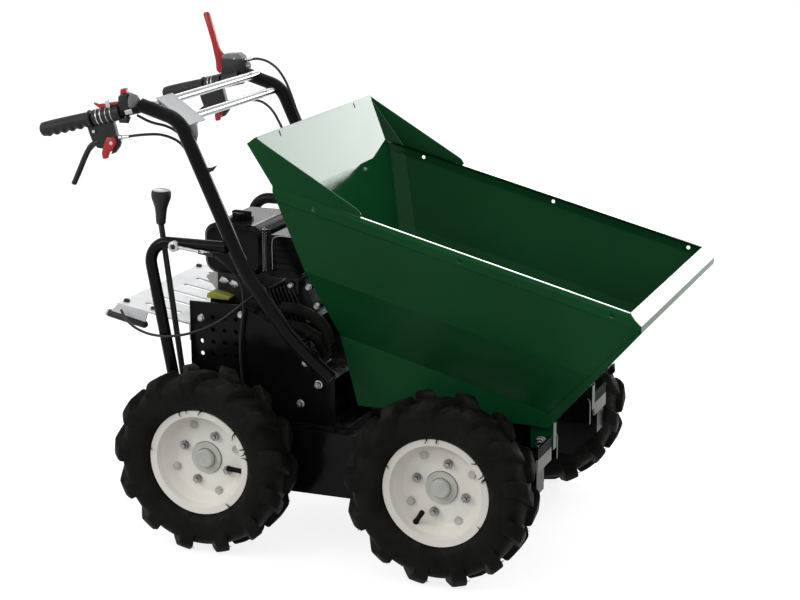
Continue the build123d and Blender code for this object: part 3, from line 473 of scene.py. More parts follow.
def add_carcass(bm, side):
    """The tyre's body, its outline mirrored about the middle plane and turned about the axle."""
    half = in_metres(CARCASS)
    outline = half + [(-out, radius) for out, radius in half[-2:0:-1]]
    rings = []
    for step in range(CARCASS_STEPS):
        angle = math.tau * step / CARCASS_STEPS
        rings.append([bm.verts.new(on_wheel(out, radius, angle, side)) for out, radius in outline])
    for here, after in zip(rings, rings[1:] + rings[:1]):
        for place in range(len(outline)):
            onward = (place + 1) % len(outline)
            bm.faces.new((here[place], after[place], after[onward], here[onward]))


def add_lug(bm, start_angle, half_side, side):
    """One lug, swept along the carcass from near the middle line out over the shoulder."""
    rows = []
    lean = random.uniform(-0.0006, 0.0006)
    for (top_out, top_radius), (base_out, base_radius) in zip(LUG_TOP, LUG_BASE):
        row = []
        for height, across in LUG_SECTION:
            out = (base_out + height * (top_out - base_out)) * MM
            radius = (base_radius + height * (top_radius - base_radius)) * MM
            shift = (out - LUG_START) * LUG_SLANT + lean
            width = LUG_WIDTH * (1 + LUG_FLARE * out)
            angle = start_angle + (shift + across * width) / LUG_PATH_RADIUS
            row.append(bm.verts.new(on_wheel(half_side * out, radius, angle, side)))
        rows.append(row)
    for lower, upper in zip(rows, rows[1:]):
        for place in range(len(LUG_SECTION) - 1):
            bm.faces.new((lower[place], lower[place + 1], upper[place + 1], upper[place]))
    for lower, upper in zip(rows, rows[1:]):
        bm.faces.new((lower[0], upper[0], upper[-1], lower[-1]))
    bm.faces.new(rows[0])
    bm.faces.new(rows[-1][::-1])


def make_tyre(wheel):
    """The lugged tyre, with the lugs of its two halves half a step apart."""
    side = wheel_side(wheel)
    bm = bmesh.new()
    add_carcass(bm, side)
    for step in range(LUGS):
        add_lug(bm, math.tau * step / LUGS, 1, side)
        add_lug(bm, math.tau * (step + 0.5) / LUGS, -1, side)
    bmesh.ops.translate(bm, verts=bm.verts, vec=wheel_centre(wheel))
    tyre = piece_from(bm, f"lugged_tyre_{wheel}", RUBBER, f"wheel_{wheel}", 50.0)
    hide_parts(f"tyre_{wheel}")


# Hairs that the tyre's mould left
RIM_HAIR_TURNS = (97, 99, 24, 27, 44, 6, -38, 84, 150)  # degrees round the rim
RIM_HAIR_ROOT = (0.0355, 0.1185)  # out from the middle, radius
RIM_HAIR_THICK, LUG_HAIR_THICK = 0.0021, 0.0012
LUG_HAIRS = 3
LUG_HAIR_OUT = (0.040, 0.052)
LUG_EDGE_RADIUS, LUG_EDGE_FALL = 0.199, 1.1  # at the inner end of that range, and its drop outward
LUG_FLANK = 0.072  # radians from a lug's middle line to its flank


def add_hair(bm, root, tip, thick):
    """A thin bent hair."""
    bow = Vector([random.uniform(-0.0025, 0.0025) for _ in range(3)])
    rings = []
    for index, point in enumerate((root, root.lerp(tip, 0.5) + bow, tip)):
        matrix = facing(point, tip - root)
        radius = thick * (1 - 0.35 * index)
        corners = [Vector((radius * math.cos(a), radius * math.sin(a), 0)) for a in (0, 2.1, 4.2)]
        rings.append([bm.verts.new(matrix @ corner) for corner in corners])
    add_skin(bm, rings)


def make_hairs(wheel):
    """Hairs inward over the rim's edge and along the lugs' flanks."""
    side = wheel_side(wheel)
    bm = bmesh.new()
    root_out, root_radius = RIM_HAIR_ROOT
    for turn in [random.gauss(centre, 7) for centre in RIM_HAIR_TURNS]:
        angle = math.radians(turn)
        tip_radius = root_radius - random.uniform(0.008, 0.016)
        tip_out = root_out + random.uniform(0.001, 0.006)
        tip = on_wheel(tip_out, tip_radius, angle + random.uniform(-0.1, 0.1), side)
        add_hair(bm, on_wheel(root_out, root_radius, angle, side), tip, RIM_HAIR_THICK)
    for step in range(LUGS):
        for half_side in (1, -1):
            start = math.tau * (step + (0 if half_side == 1 else 0.5)) / LUGS
            for _ in range(LUG_HAIRS):
                out = random.uniform(*LUG_HAIR_OUT)
                radius = LUG_EDGE_RADIUS - (out - LUG_HAIR_OUT[0]) * LUG_EDGE_FALL
                slant = (out - LUG_START) * LUG_SLANT / LUG_PATH_RADIUS
                flank = random.choice((-1, 1))
                angle = start + slant + flank * LUG_FLANK
                root = on_wheel(half_side * out, radius - 0.002, angle, side)
                tip_angle = angle + flank * random.uniform(0.03, 0.06)
                tip = on_wheel(half_side * (out - 0.002), radius + 0.002, tip_angle, side)
                add_hair(bm, root, tip, LUG_HAIR_THICK)
    bmesh.ops.translate(bm, verts=bm.verts, vec=wheel_centre(wheel))
    piece_from(bm, f"mould_hairs_{wheel}", RUBBER, f"wheel_{wheel}")


# Wheel hardware
NUT_CIRCLE = 56 * MM
BOLT_CIRCLE = 77 * MM
WASHERS_OUT = -5.2 * MM  # from the wheel's middle plane, just below the disc's outer face
NUT_TURN = {"front": 74.0, "rear": 66.0}
HUB_SHADE_RINGS = ((36.0, -5.2), (21.9, -1.2))  # (radius, out) of black rings, painted shade in the gaps round the washer and the cap
VALVE_TURN = {"front": -124.0, "rear": -10.0}
VALVE_ROOT, VALVE_TIP = (0.010, 0.0945), (0.019, 0.060)  # out, radius


def make_wheel_hardware(wheel):
    """Nuts, bolt heads, black rings of painted shade in the gaps round the hub, and the valve."""
    axle = wheel.split("_")[0]
    side = wheel_side(wheel)
    outward = (0, side, 0)
    centre = wheel_centre(wheel)
    nuts, heads, shade_rings, valve = new_meshes(4)
    for step in range(4):
        angle = math.radians(NUT_TURN[axle] + 90 * step)
        place = centre + on_wheel(WASHERS_OUT, NUT_CIRCLE, angle, side)
        add_nut(nuts, facing(place, outward))
        place = centre + on_wheel(WASHERS_OUT, BOLT_CIRCLE, angle + math.radians(45), side)
        add_bolt_head(heads, facing(place, outward), 0.0155)
    # Black rings that paint the shade in the gaps round the hub's washer and cap
    for radius, out in HUB_SHADE_RINGS:
        shade_ring = in_metres([(radius - 0.6, 0), (radius, 0.2), (radius, 0.4), (radius - 0.3, 0.6)])
        add_turned(shade_rings, shade_ring, 48, facing(centre + Vector((0, side * out * MM, 0)), outward))
    angle = math.radians(VALVE_TURN[axle])
    root, tip = (centre + on_wheel(out, radius, angle, side) for out, radius in (VALVE_ROOT, VALVE_TIP))
    length = (tip - root).length
    stem = [
        (0.0066, -0.001), (0.0066, 0.003), (0.0055, 0.006), (0.0053, length * 0.62),
        (0.0057, length * 0.64), (0.0057, length - 0.001), (0.0048, length),
    ]
    add_turned(valve, stem, 20, facing(root, tip - root))
    body = f"wheel_{wheel}"
    piece_from(nuts, f"wheel_nuts_{wheel}", DARK_ZINC, body)
    piece_from(heads, f"rim_bolts_{wheel}", MACHINED, body)
    piece_from(shade_rings, f"hub_painted_shade_rings_{wheel}", BLACK, body)
    piece_from(valve, f"valve_{wheel}", RUBBER, body)


for wheel_name in WHEELS:
    make_tyre(wheel_name)
    make_hairs(wheel_name)
    make_wheel_hardware(wheel_name)


# Handle bars and grips, whose constants are millimetres
BAR_START = (-430.0, 255.0, 948.6)
BAR_END = (-660.0, 279.85, 891.5)
GRIP_START_X, GRIP_END_X = -552, -673
GRIP_RADIUS = 15.4
GRIP_SIDES, GRIP_STEPS = 36, 64
COLLAR_END, COLLAR_MIDDLE, COLLAR_HALF, COLLAR_HEIGHT = 6, 2.5, 3.5, 4.0
WAVE_START, WAVE_LENGTH, WAVE_HEIGHT = 12, 19.0, 1.9
RIDGE_START, RIDGE_LENGTH, RIDGE_HEIGHT = 14, 4.0, 0.35
GRIP_DOME = 9


def bar_point(x, side):
    """The point on a handle bar's middle line at this X."""
    share = (x - BAR_START[0]) / (BAR_END[0] - BAR_START[0])
    y, z = (BAR_START[i] + share * (BAR_END[i] - BAR_START[i]) for i in (1, 2))
    return at(x, side * y, z)


def add_ring(bm, x, side, radius, length):
    """A band round the bar, in millimetres."""
    start, end = bar_point(x, side), bar_point(x - length, side)
    width = (end - start).length / MM
    profile = [(radius - 1.2, 0), (radius, 0.8), (radius, width - 0.8), (radius - 1.2, width)]
    add_turned(bm, in_metres(profile), 40, facing(start, end - start))


def grip_radius(along, length, angle):
    """A grip's radius in millimetres: a collar, finger waves below, fine ridges above and a domed end."""
    to_end = length - along
    under = max(0.0, -math.sin(angle))
    radius = GRIP_RADIUS + math.sin(math.pi * along / length)
    if along < COLLAR_END:
        radius += COLLAR_HEIGHT * max(0.0, 1 - abs(along - COLLAR_MIDDLE) / COLLAR_HALF) ** 0.5
    if along > WAVE_START and to_end > WAVE_START + 2:
        radius += WAVE_HEIGHT * under * math.cos(math.tau * (along - WAVE_START) / WAVE_LENGTH)
    if along > RIDGE_START and to_end > RIDGE_START + 2:
        radius += RIDGE_HEIGHT * (1 - under) * math.cos(math.tau * along / RIDGE_LENGTH)
    if to_end < GRIP_DOME:
        radius *= math.sqrt(max(0.0, 1 - (1 - to_end / GRIP_DOME) ** 2))
    return max(radius, 0.3)


def make_grips():
    """Both grips, wavy below and ribbed above."""
    bm = bmesh.new()
    for side in (RIGHT, LEFT):
        start, end = bar_point(GRIP_START_X, side), bar_point(GRIP_END_X, side)
        ahead = (end - start).normalized()
        length = (end - start).length / MM
        across = (Vector((0, 1, 0)) - ahead * ahead.y).normalized()
        up = ahead.cross(across)
        if up.z < 0:
            up = -up
        rings = []
        for step in range(GRIP_STEPS + 1):
            along = length * step / GRIP_STEPS
            ring = []
            for corner in range(GRIP_SIDES):
                angle = math.tau * corner / GRIP_SIDES
                offset = across * math.cos(angle) + up * math.sin(angle)
                reach = offset * grip_radius(along, length, angle) * MM
                ring.append(bm.verts.new(start + ahead * along * MM + reach))
            rings.append(ring)
        add_skin(bm, rings)
    piece = piece_from(bm, "ribbed_grips", GRIP, "chassis", 60.0)
    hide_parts("grips")


# Hand levers, side-view outlines
LEVER_BODY = [
    (-553, 922), (-548, 931), (-509, 936), (-500, 906), (-493, 878), (-490, 863), (-499, 857), (-520, 853),
    (-541, 854), (-552, 864), (-560, 884), (-565, 899), (-560, 906),
]
LEVER_LATCH = [
    (-515, 880), (-497, 881), (-492, 870), (-502, 853), (-513, 846), (-518, 833), (-527, 832), (-529, 846),
    (-523, 864),
]
LEVER_EAR = [(-497, 881), (-486, 871), (-489, 860), (-500, 846), (-510, 842), (-505, 853), (-494, 868)]
LEVER_BLADE = [(-536, 868), (-553, 862), (-566, 850), (-578, 830), (-589, 808), (-600, 786), (-609, 769)]
BLADE_RADII = [7.5, 6.6, 6.0, 6.0, 6.0, 5.8, 4.6]
BLADE_STEPS = 5
BLADE_END_RADIUS = 2.4
LEVER_PINS = ((-505, 868, 5.0), (-547, 891, 4.2))  # x, z, radius


def make_hand_lever(side, cad_node):
    """Body, blade, parking latch and clamp of one hand lever."""
    black, red, zinc = new_meshes(3)
    add_slab(black, LEVER_BODY, 254, 270, side, 3.0)
    add_slab(black, LEVER_EAR, 258, 268, side, 1.5)
    add_ring(black, -503, side, 17.6, 43)
    path = smooth_path([at(x, side * 262, z) for x, z in LEVER_BLADE], BLADE_STEPS)
    radii = [BLADE_RADII[step // BLADE_STEPS] for step in range(len(path))]
    radii[0] = radii[-1] = BLADE_END_RADIUS
    add_tube(black, path, radii, 18, 1.25)
    add_slab(red, LEVER_LATCH, 263, 274, side, 1.8)
    for x, z, radius in LEVER_PINS:
        profile = in_metres([(radius, -1), (radius, 3.5), (radius * 0.7, 5)])
        add_turned(zinc, profile, 20, facing(at(x, side * 270, z), (0, side, 0)))
    for x in (-524, -534):
        add_ring(zinc, x, side, 18.2, 3.4)
    add_stepped_rod(zinc, at(-491, side * 262, 879), at(-466, side * 261, 883), 0.3, (5.2, 3.9))
    name = "right" if side == RIGHT else "left"
    lever = piece_from(black, f"hand_lever_{name}", PLASTIC, "chassis")
    latch = piece_from(red, f"parking_latch_{name}", RED, "chassis")
    piece_from(zinc, f"lever_fittings_{name}", ZINC, "chassis")
    for piece in (lever, latch):
        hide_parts(cad_node)


# Throttle and switch on the right bar, side-view outlines
THROTTLE_ARM = [
    (-546, 949), (-547, 953), (-534, 950), (-526, 952), (-519, 951), (-519, 941), (-529, 939), (-536, 943),
]
THROTTLE_RIDGE = [(-510, 949), (-508, 955), (-487, 958), (-485, 953)]
THROTTLE_BODY = [(-522, 950), (-494, 956), (-484, 951), (-484, 936), (-508, 930)]
THROTTLE_CLIP = [(-518, 958), (-509, 962), (-504, 948), (-513, 934)]
SWITCH_CLIP = [(-470, 940), (-452, 945), (-449, 935), (-466, 931)]
SWITCH_BODY = [(-484, 938), (-485, 968), (-478, 976), (-462, 976), (-460, 940)]
SWITCH_BUTTON = [(-483, 974), (-481, 985), (-470, 987), (-467, 976)]
SWITCH_FOOT = [(-486, 925, 5.5), (-484, 918, 7.5), (-470, 918, 7.5), (-466, 926, 5.5)]  # x, z, radius
SWITCH_CAP = [(-460, 958, 17.5), (-457, 958, 18.0), (-449, 957, 16.5), (-443, 955, 11.0), (-441, 954, 5.0)]


def make_throttle():
    """The small red throttle lever with its clamp, and the switch with its red button."""
    red, zinc, black, grey = new_meshes(4)
    add_slab(red, THROTTLE_ARM, 262, 268, RIGHT, 1.0)
    add_slab(red, THROTTLE_RIDGE, 258, 270, RIGHT, 1.0)
    add_slab(red, SWITCH_BUTTON, 252, 266, RIGHT, 1.6)
    add_slab(black, THROTTLE_BODY, 249, 268, RIGHT, 2.0)
    add_slab(black, SWITCH_BODY, 246, 272, RIGHT, 3.0)
    add_slab(zinc, THROTTLE_CLIP, 266, 272, RIGHT, 1.2)
    add_slab(zinc, SWITCH_CLIP, 262, 274, RIGHT, 1.2)
    add_ring(black, -484, RIGHT, 17.2, 30)
    for x in (-512, -501):
        add_ring(zinc, x, RIGHT, 18.8, 2.6)
    round_parts = ((black, -262, SWITCH_FOOT, 16, 1.0), (grey, -260, SWITCH_CAP, 28, 0.75))
    for bm, y, stops, sides, flat in round_parts:
        add_tube(bm, [at(x, y, z) for x, z, _ in stops], [radius for _, _, radius in stops], sides, flat)
    housing = piece_from(black, "switch_housing", PLASTIC, "chassis")
    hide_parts("switch_box")
    piece_from(grey, "switch_end_cap", CASTING, "chassis")
    piece_from(red, "switch_button_and_throttle", RED, "chassis")
    piece_from(zinc, "throttle_clamp", ZINC, "chassis")


# Drive lever on the left bar, side-view outlines
DRIVE_BLADE = [
    (-552, 1086), (-549, 1091), (-541, 1092), (-537, 1088), (-528, 1058), (-519, 1028), (-512, 1004),
    (-503, 994), (-494, 974), (-503, 952), (-513, 947), (-521, 954), (-522, 976), (-531, 1018), (-541, 1052),
]
DRIVE_COVER = [(-503, 990), (-496, 995), (-462, 998), (-450, 990), (-446, 978), (-500, 974)]
DRIVE_HOUSING = [(-503, 984), (-444, 984), (-436, 968), (-441, 948), (-486, 934), (-507, 940), (-500, 962)]


def make_drive_lever():
    """The tall red lever with its grey and black housing."""
    red, black, grey, zinc = new_meshes(4)
    add_slab(red, DRIVE_BLADE, 263, 273, LEFT, 2.2)
    add_slab(grey, DRIVE_COVER, 256, 284, LEFT, 2.0)
    add_slab(black, DRIVE_HOUSING, 252, 282, LEFT, 3.0)
    add_ring(black, -452, LEFT, 18.0, 46)
    add_stepped_rod(zinc, at(-448, 268, 980), at(-428, 268, 986), 0.4, (5.6, 4.0))
    add_turned(zinc, in_metres([(3, -1), (3, 2), (2, 3)]), 14, facing(at(-468, 256, 985), (0, -1, 0)))
    pieces = [
        piece_from(red, "drive_lever_blade", RED, "chassis"),
        piece_from(black, "drive_lever_housing", PLASTIC, "chassis"),
        piece_from(grey, "drive_lever_cover", CASTING, "chassis"),
    ]
    piece_from(zinc, "drive_cable_end", ZINC, "chassis")
    for piece in pieces:
        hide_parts("drive_lever")


make_grips()
make_hand_lever(RIGHT, "clutch_lever")
make_hand_lever(LEFT, "drive_lever")
make_throttle()
make_drive_lever()


# Engine, seen from its right
OUTWARD = (0, RIGHT, 0)
CAP_CENTRE = at(-289, -88, 0)
CAP_RIBS, CAP_RIB_CIRCLE, CAP_RIB_DROP = 30, 0.0200, 0.0085
CAP_GRIP = [(-311, 692), (-312, 698), (-306, 700.5), (-272, 700.5), (-266, 698), (-267, 692)]
GUARD_LINE = [(-189, 588), (-189.5, 640), (-188, 654), (-181, 660.5), (-170, 662.5), (-128, 662.5)]
GUARD_LINE_Y = -146.4
SPECK_PLATE = [(-216, 576), (-216, 674), (-200, 674), (-200, 576)]
SPECK_Y = 143.6
SPECK_ROWS, SPECK_COLUMNS = 15, 3
SPECK_X, SPECK_Z = -212.5, 582  # the first of them
SPECK_STEP_X, SPECK_STEP_Z = 4.2, 6.6
HEAD_BOLTS = ((-162, 546, 0.011), (-119, 545, 0.012), (-100, 504, 0.012), (-139, 488, 0.010))
HOSES = (
    [(-160, 510), (-120, 508), (-82, 494), (-56, 470), (-46, 436)],
    [(-150, 472), (-108, 464), (-72, 444), (-52, 408)],
)
HOSE_Y, HOSE_RADIUS, HOSE_END_RADIUS = -168, 13, 5
PLATE_NUTS = ((-86, 402), (-58, 355), (-102, 307))
PLATE_BOLTS = ((-338, 478), (-240, 494))
PLATE_FACE_Y = -204
CARBURETTOR = [(-366, 552), (-350, 562), (-318, 561), (-284, 545), (-276, 532), (-290, 520), (-340, 522)]
CARBURETTOR_LINK = [(-330, 545), (-322, 556), (-310, 553), (-304, 545), (-316, 540)]
CARBURETTOR_CAM = [(-306, 541), (-298, 550), (-286, 546), (-282, 537), (-292, 531)]
OIL_FILLER = [(-352, 509), (-350, 520), (-338, 526), (-306, 520), (-292, 516), (-296, 508)]
OIL_FILLER_NECK = [(-345, 498), (-343, 510), (-300, 510), (-298, 498)]


def add_filler_cap(black):
    """Ribs round the fuel tank's cap and the grip across it."""
    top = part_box("fuel_tank")[1].z
    for step in range(CAP_RIBS):
        angle = math.tau * step / CAP_RIBS
        spot = Vector((math.cos(angle), math.sin(angle), 0)) * CAP_RIB_CIRCLE
        foot = CAP_CENTRE + spot + Vector((0, 0, top - CAP_RIB_DROP))
        add_turned(black, in_metres([(1.6, 0), (1.6, 6.2), (0.8, 7.4)]), 8, facing(foot, (0, 0, 1)))
    add_slab(black, CAP_GRIP, 83, 93, RIGHT, 2.0)


def add_muffler_trim(black, zinc):
    """The bright line round the muffler guard, and rows of bright specks on a dark plate beside it."""
    add_tube(zinc, [at(x, GUARD_LINE_Y, z) for x, z in GUARD_LINE], [0.7] * len(GUARD_LINE), 8)
    for row in range(SPECK_ROWS):
        for column in range(SPECK_COLUMNS):
            x = SPECK_X + SPECK_STEP_X * column
            z = SPECK_Z + SPECK_STEP_Z * (row + (0.5 if column == 1 else 0))
            speck = in_metres([(1.3, 0), (1.3, 0.8), (0.8, 1.3)])
            add_turned(zinc, speck, 8, facing(at(x, -SPECK_Y, z), OUTWARD))
    add_slab(black, SPECK_PLATE, 136, SPECK_Y, RIGHT, 0.3)


def add_engine_fasteners(black, zinc):
    """Bolts on bosses round the cylinder head, and nuts and bolts on the side plate."""
    for x, z, size in HEAD_BOLTS:
        add_bolt_head(zinc, facing(at(x, -111, z), OUTWARD), size, 0.006, size * 0.62)
        boss = in_metres([(7.5, 0), (7.5, 30), (6.8, 31)])
        add_turned(black, boss, 16, facing(at(x, -80, z), OUTWARD))
    for x, z in PLATE_NUTS:
        add_nut(zinc, facing(at(x, PLATE_FACE_Y, z), OUTWARD), 0.014, 0.007, 0.004, 0.0095)
    for x, z in PLATE_BOLTS:
        add_bolt_head(zinc, facing(at(x, PLATE_FACE_Y, z), OUTWARD), 0.012, 0.005, 0.008)


def make_engine_details():
    """Filler cap, muffler trim, fasteners, hoses, carburettor and oil filler."""
    black, zinc, cast, filler, hoses = new_meshes(5)
    add_filler_cap(black)
    add_muffler_trim(black, zinc)
    add_engine_fasteners(black, zinc)
    for route in HOSES:
        path = smooth_path([at(x, HOSE_Y, z) for x, z in route], 8)
        radii = [HOSE_END_RADIUS] + [HOSE_RADIUS] * (len(path) - 2) + [HOSE_END_RADIUS]
        add_tube(hoses, path, radii, 24)
    add_slab(cast, CARBURETTOR, 96, 124, RIGHT, 4.0)
    add_slab(zinc, CARBURETTOR_LINK, 122, 130, RIGHT, 1.5)
    add_slab(zinc, CARBURETTOR_CAM, 122, 128, RIGHT, 1.5)
    add_slab(filler, OIL_FILLER, 124, 150, RIGHT, 3.0)
    add_slab(black, OIL_FILLER_NECK, 112, 146, RIGHT, 2.0)
    piece_from(black, "filler_cap_and_bosses", BLACK, "chassis")
    piece_from(hoses, "engine_hoses", RUBBER, "chassis")
    piece_from(zinc, "engine_bolts", ZINC, "chassis")
    piece_from(cast, "carburettor", MACHINED, "chassis")
    piece_from(filler, "oil_filler", FILLER, "chassis")


# Gear cable and gear lever
ROD_EYE = [(11.8, -4.8), (11.8, 4.8), (8.0, 5.6), (6.2, 6.2), (5.2, 5.0)]
ROD_BALL = [(6, 0), (6, 1.2), (4.5, 2.4), (2, 3)]
ROD_STOPS = ((-352, -272.3, 651), (-300, -272.5, 645), (-289, -272, 644), (-268.5, -270.3, 640.6))
KNOB = [
    (8, -4), (10, -2), (11, 4), (12, 20), (14, 34), (18, 46), (21, 54), (21.8, 61), (21.6, 67),
    (20.4, 71), (18.6, 72), (17.2, 70), (15.5, 62), (8, 58),
]
KNOB_RING = [(17.9, 71.6), (19.4, 71.4), (19.4, 72.4), (18.7, 72.9), (17.9, 72.4)]
GEAR_SOCKET = [(-381, 264.2), (-381, 290), (-355, 290), (-355, 264.2)]


def make_rod_end():
    """The bright eye with its ball, rod and sleeve that pull the gear cable."""
    bm, ball = new_meshes(2)
    add_turned(bm, in_metres(ROD_EYE), 28, facing(at(-362, -272.3, 652), OUTWARD))
    stops = [at(*stop) for stop in ROD_STOPS]
    add_tube(bm, stops[0:2], [3.7, 3.7], 14)
    add_tube(bm, stops[1:3], [5.6, 5.6], 6)
    add_tube(bm, stops[2:4], [4.6, 4.2], 14)
    add_turned(ball, in_metres(ROD_BALL), 20, facing(at(-362, -277.4, 652), OUTWARD))
    piece_from(bm, "gear_cable_rod_end", ZINC, "chassis")
    piece_from(ball, "rod_end_ball", PLASTIC, "chassis")


def make_gear_lever():
    """The rod with its cup-shaped knob and the bright ring on top."""
    black, zinc = new_meshes(2)
    foot, neck = at(-368, -222, 270), at(-419, -222, 690)
    add_tube(black, [foot, foot.lerp(neck, 0.1), neck], [6.6, 6.6, 6.4], 18)
    add_slab(black, GEAR_SOCKET, 210, 234, RIGHT, 2.0)
    leaning = facing(neck, (0.05, 0, 1))
    add_turned(black, in_metres(KNOB), 40, leaning)
    add_turned(zinc, in_metres(KNOB_RING), 40, leaning)
    lever = piece_from(black, "gear_lever_knob", GRIP, "chassis", 40.0)
    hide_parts("gear_lever")
    piece_from(zinc, "knob_ring", ZINC, "chassis")


# Tube clip and rear tray
TUBE_CLIP = [(-300, 818), (-296, 824), (-276, 826), (-262, 832), (-272, 819), (-288, 812)]
TRAY_KNOBS = ((-540, 178, 487), (-538, -178, 487), (-470, 178, 475), (-470, -178, 475))
TRAY_KNOB = [(6, 0), (7.5, 3), (7.5, 8), (5, 10.5), (2, 11)]
TRAY_UPWARD = (0.16, 0, 1)


def make_tube_clip():
    """A small clip on the right handle tube."""
    bm = bmesh.new()
    add_slab(bm, TUBE_CLIP, 251, 259, RIGHT, 1.0)
    piece_from(bm, "tube_clip", PLASTIC, "chassis")


def make_tray_details():
    """Black sleeves on the tray's side bars and the knobs that hold its plate."""
    bm = bmesh.new()
    for side in (RIGHT, LEFT):
        add_rounded_rod(bm, at(-577, side * 200, 469), at(-474, side * 200, 447), 8.8)
    for place in TRAY_KNOBS:
        add_turned(bm, in_metres(TRAY_KNOB), 20, facing(at(*place), TRAY_UPWARD))
    piece_from(bm, "tray_bar_sleeves", PLASTIC, "chassis")


make_engine_details()
make_tray_details()
make_rod_end()
make_gear_lever()
make_tube_clip()


# Skip
GUSSET = [(-156, 893), (-146, 906.5), (78, 774), (86, 768), (90, 761), (89, 756), (-104, 805.8)]
RIM_HEIGHT, RIM_SLOPE = 779, 0.262  # at mid-wheelbase, and how it drops forward
HEM_ENDS = ((88, 0.6), (657, 1.8))  # x, depth of the band painted as a highlight
TIPPING_PIN_END = (432, 156.5, 268)  # on the left


def rim_top(x):
    """The height of the skip's sloping rim, in millimetres."""
    return RIM_HEIGHT - RIM_SLOPE * x


def make_gussets():
    """The upper corner plates, out to their full tips."""
    bm = bmesh.new()
    for side in (RIGHT, LEFT):
        add_slab(bm, GUSSET, 305.6, 309.5, side, 0.8)
    return piece_from(bm, "corner_gussets", GREEN, "skip")


def make_rim_hems():
    """The rolled edge along the top of each side, wider towards the front, in pale metal as a painted
    highlight.
    """
    bm = bmesh.new()
    for side in (RIGHT, LEFT):
        rings = []
        for x, band in HEM_ENDS:
            section = [
                (308.8, -band), (309.4, -band), (309.5, 0), (309.1, 0.5),
                (305.2, 0.5), (304.8, 0), (304.8, -band), (305.4, -band),
            ]
            rings.append([bm.verts.new(at(x, side * y, rim_top(x) + rise)) for y, rise in section])
        add_skin(bm, rings)
    piece_from(bm, "rim_hem_painted_highlights", EDGE, "skip")


def make_hinge_hardware():
    """Nuts on the tipping pins."""
    bm = bmesh.new()
    x, y, z = TIPPING_PIN_END
    for side in (RIGHT, LEFT):
        add_nut(bm, facing(at(x, side * y, z), (0, side, 0)), 0.019, 0.009, 0.003, 0.013)
    piece_from(bm, "tipping_pin_nuts", ZINC, "chassis")


gussets = make_gussets()
make_rim_hems()
make_hinge_hardware()
# Both would hide the lamp that the guard mirrors in the photograph
for mirror_blocker in (gussets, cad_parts["skip_back"]):
    mirror_blocker.visible_glossy = False


# Camera, where the photograph was taken from
CAMERA_PLACE = (1.6065, -3.921, 1.596)
CAMERA_LENS = 88.52
CAMERA_AZIMUTH, CAMERA_ELEVATION, CAMERA_ROLL = (math.radians(a) for a in (21.665, 14.509, -0.33))


def make_camera():
    """The camera, aimed by its azimuth, elevation and roll."""
    level = math.cos(CAMERA_ELEVATION)
    back_x, back_y = math.sin(CAMERA_AZIMUTH) * level, -math.cos(CAMERA_AZIMUTH) * level
    back = Vector((back_x, back_y, math.sin(CAMERA_ELEVATION)))
    right = Vector((math.cos(CAMERA_AZIMUTH), math.sin(CAMERA_AZIMUTH), 0))
    up = back.cross(right)
    turned_right = math.cos(CAMERA_ROLL) * right + math.sin(CAMERA_ROLL) * up
    turned_up = math.cos(CAMERA_ROLL) * up - math.sin(CAMERA_ROLL) * right
    data = bpy.data.cameras.new("camera")
    data.lens = CAMERA_LENS
    data.sensor_width = 36.0
    data.clip_end = 100.0
    camera = bpy.data.objects.new("camera", data)
    axes = Matrix((turned_right, turned_up, back)).transposed().to_4x4()
    camera.matrix_world = Matrix.Translation(CAMERA_PLACE) @ axes
    bpy.context.scene.collection.objects.link(camera)
    bpy.context.scene.camera = camera


# Studio
AMBIENT = 0.75
FLOOR_GREY, FLOOR_SHINE = 0.32, 0.84
LAMPS = (  # name, place, target, size, radiance, tint
    ("key", (-2.6, -2.6, 2.2), (0, 0, 0.5), (1.6, 1.6), 5.0, (1, 1, 1)),
    ("back", (1.30, 3.2, 1.25), (-0.1, 0, 0.8), (1.3, 0.85), 13.0, (0.94, 1.0, 0.965)),
    ("rim", (-0.9, 3.2, 2.0), (0, 0, 0.6), (2.4, 0.9), 2.6, (1, 1, 1)),
    ("top", (0.3, 0.8, 3.6), (0.1, 0, 0.5), (2.6, 2.0), 1.2, (1, 1, 1)),
)


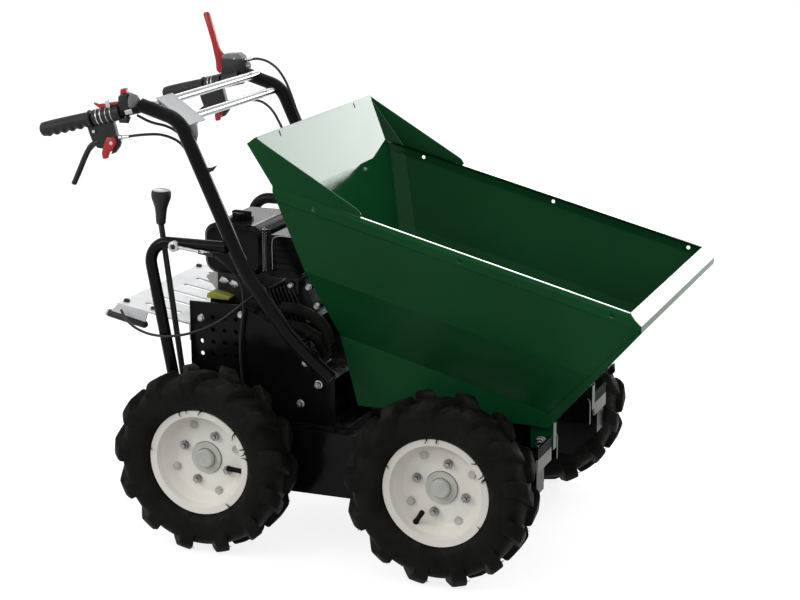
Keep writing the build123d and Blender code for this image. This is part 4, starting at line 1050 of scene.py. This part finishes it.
def shown_directly(tree):
    """1 for rays from the camera, off a glossy surface or through glass."""
    rays = add_node(tree, "ShaderNodeLightPath")
    total = rays.outputs["Is Camera Ray"]
    for kind in ("Is Glossy Ray", "Is Transmission Ray"):
        total = calculate(tree, "MAXIMUM", total, rays.outputs[kind])
    return total


def make_world():
    """A world that shows white and lights at the ambient strength."""
    world = bpy.data.worlds.new("studio")
    bpy.context.scene.world = world
    world.use_nodes = True
    tree = world.node_tree
    background = tree.nodes["Background"]
    background.inputs["Color"].default_value = (1, 1, 1, 1)
    tree.links.new(spread(tree, shown_directly(tree), 0, 1, AMBIENT, 1.0), background.inputs["Strength"])


def make_floor():
    """A white floor that keeps the object's shadow."""
    bm = bmesh.new()
    bmesh.ops.create_grid(bm, x_segments=1, y_segments=1, size=40)
    mesh = bpy.data.meshes.new("floor")
    bm.to_mesh(mesh)
    bm.free()
    floor = bpy.data.objects.new("floor", mesh)
    bpy.context.scene.collection.objects.link(floor)
    material = bpy.data.materials.new("floor")
    material.use_nodes = True
    tree = material.node_tree
    inputs = tree.nodes["Principled BSDF"].inputs
    inputs["Base Color"].default_value = (FLOOR_GREY, FLOOR_GREY, FLOOR_GREY, 1)
    inputs["Roughness"].default_value = 0.9
    inputs["Specular IOR Level"].default_value = 0.1
    inputs["Emission Color"].default_value = (1, 1, 1, 1)
    shine = spread(tree, shown_directly(tree), 0, 1, 0.0, FLOOR_SHINE)
    tree.links.new(shine, inputs["Emission Strength"])
    mesh.materials.append(material)


def add_softbox(name, place, target, size, radiance, tint):
    """A soft lamp whose panel shines with this radiance."""
    data = bpy.data.lights.new(name, "AREA")
    data.shape = "RECTANGLE"
    data.size, data.size_y = size
    data.energy = radiance * math.pi * size[0] * size[1]
    data.color = tint
    lamp = bpy.data.objects.new(name, data)
    aim = (Vector(target) - Vector(place)).to_track_quat("-Z", "Y").to_matrix().to_4x4()
    lamp.matrix_world = Matrix.Translation(place) @ aim
    lamp.visible_camera = False
    bpy.context.scene.collection.objects.link(lamp)


make_camera()
make_world()
make_floor()
for lamp_settings in LAMPS:
    add_softbox(*lamp_settings)
bpy.context.scene.view_settings.view_transform = "Standard"
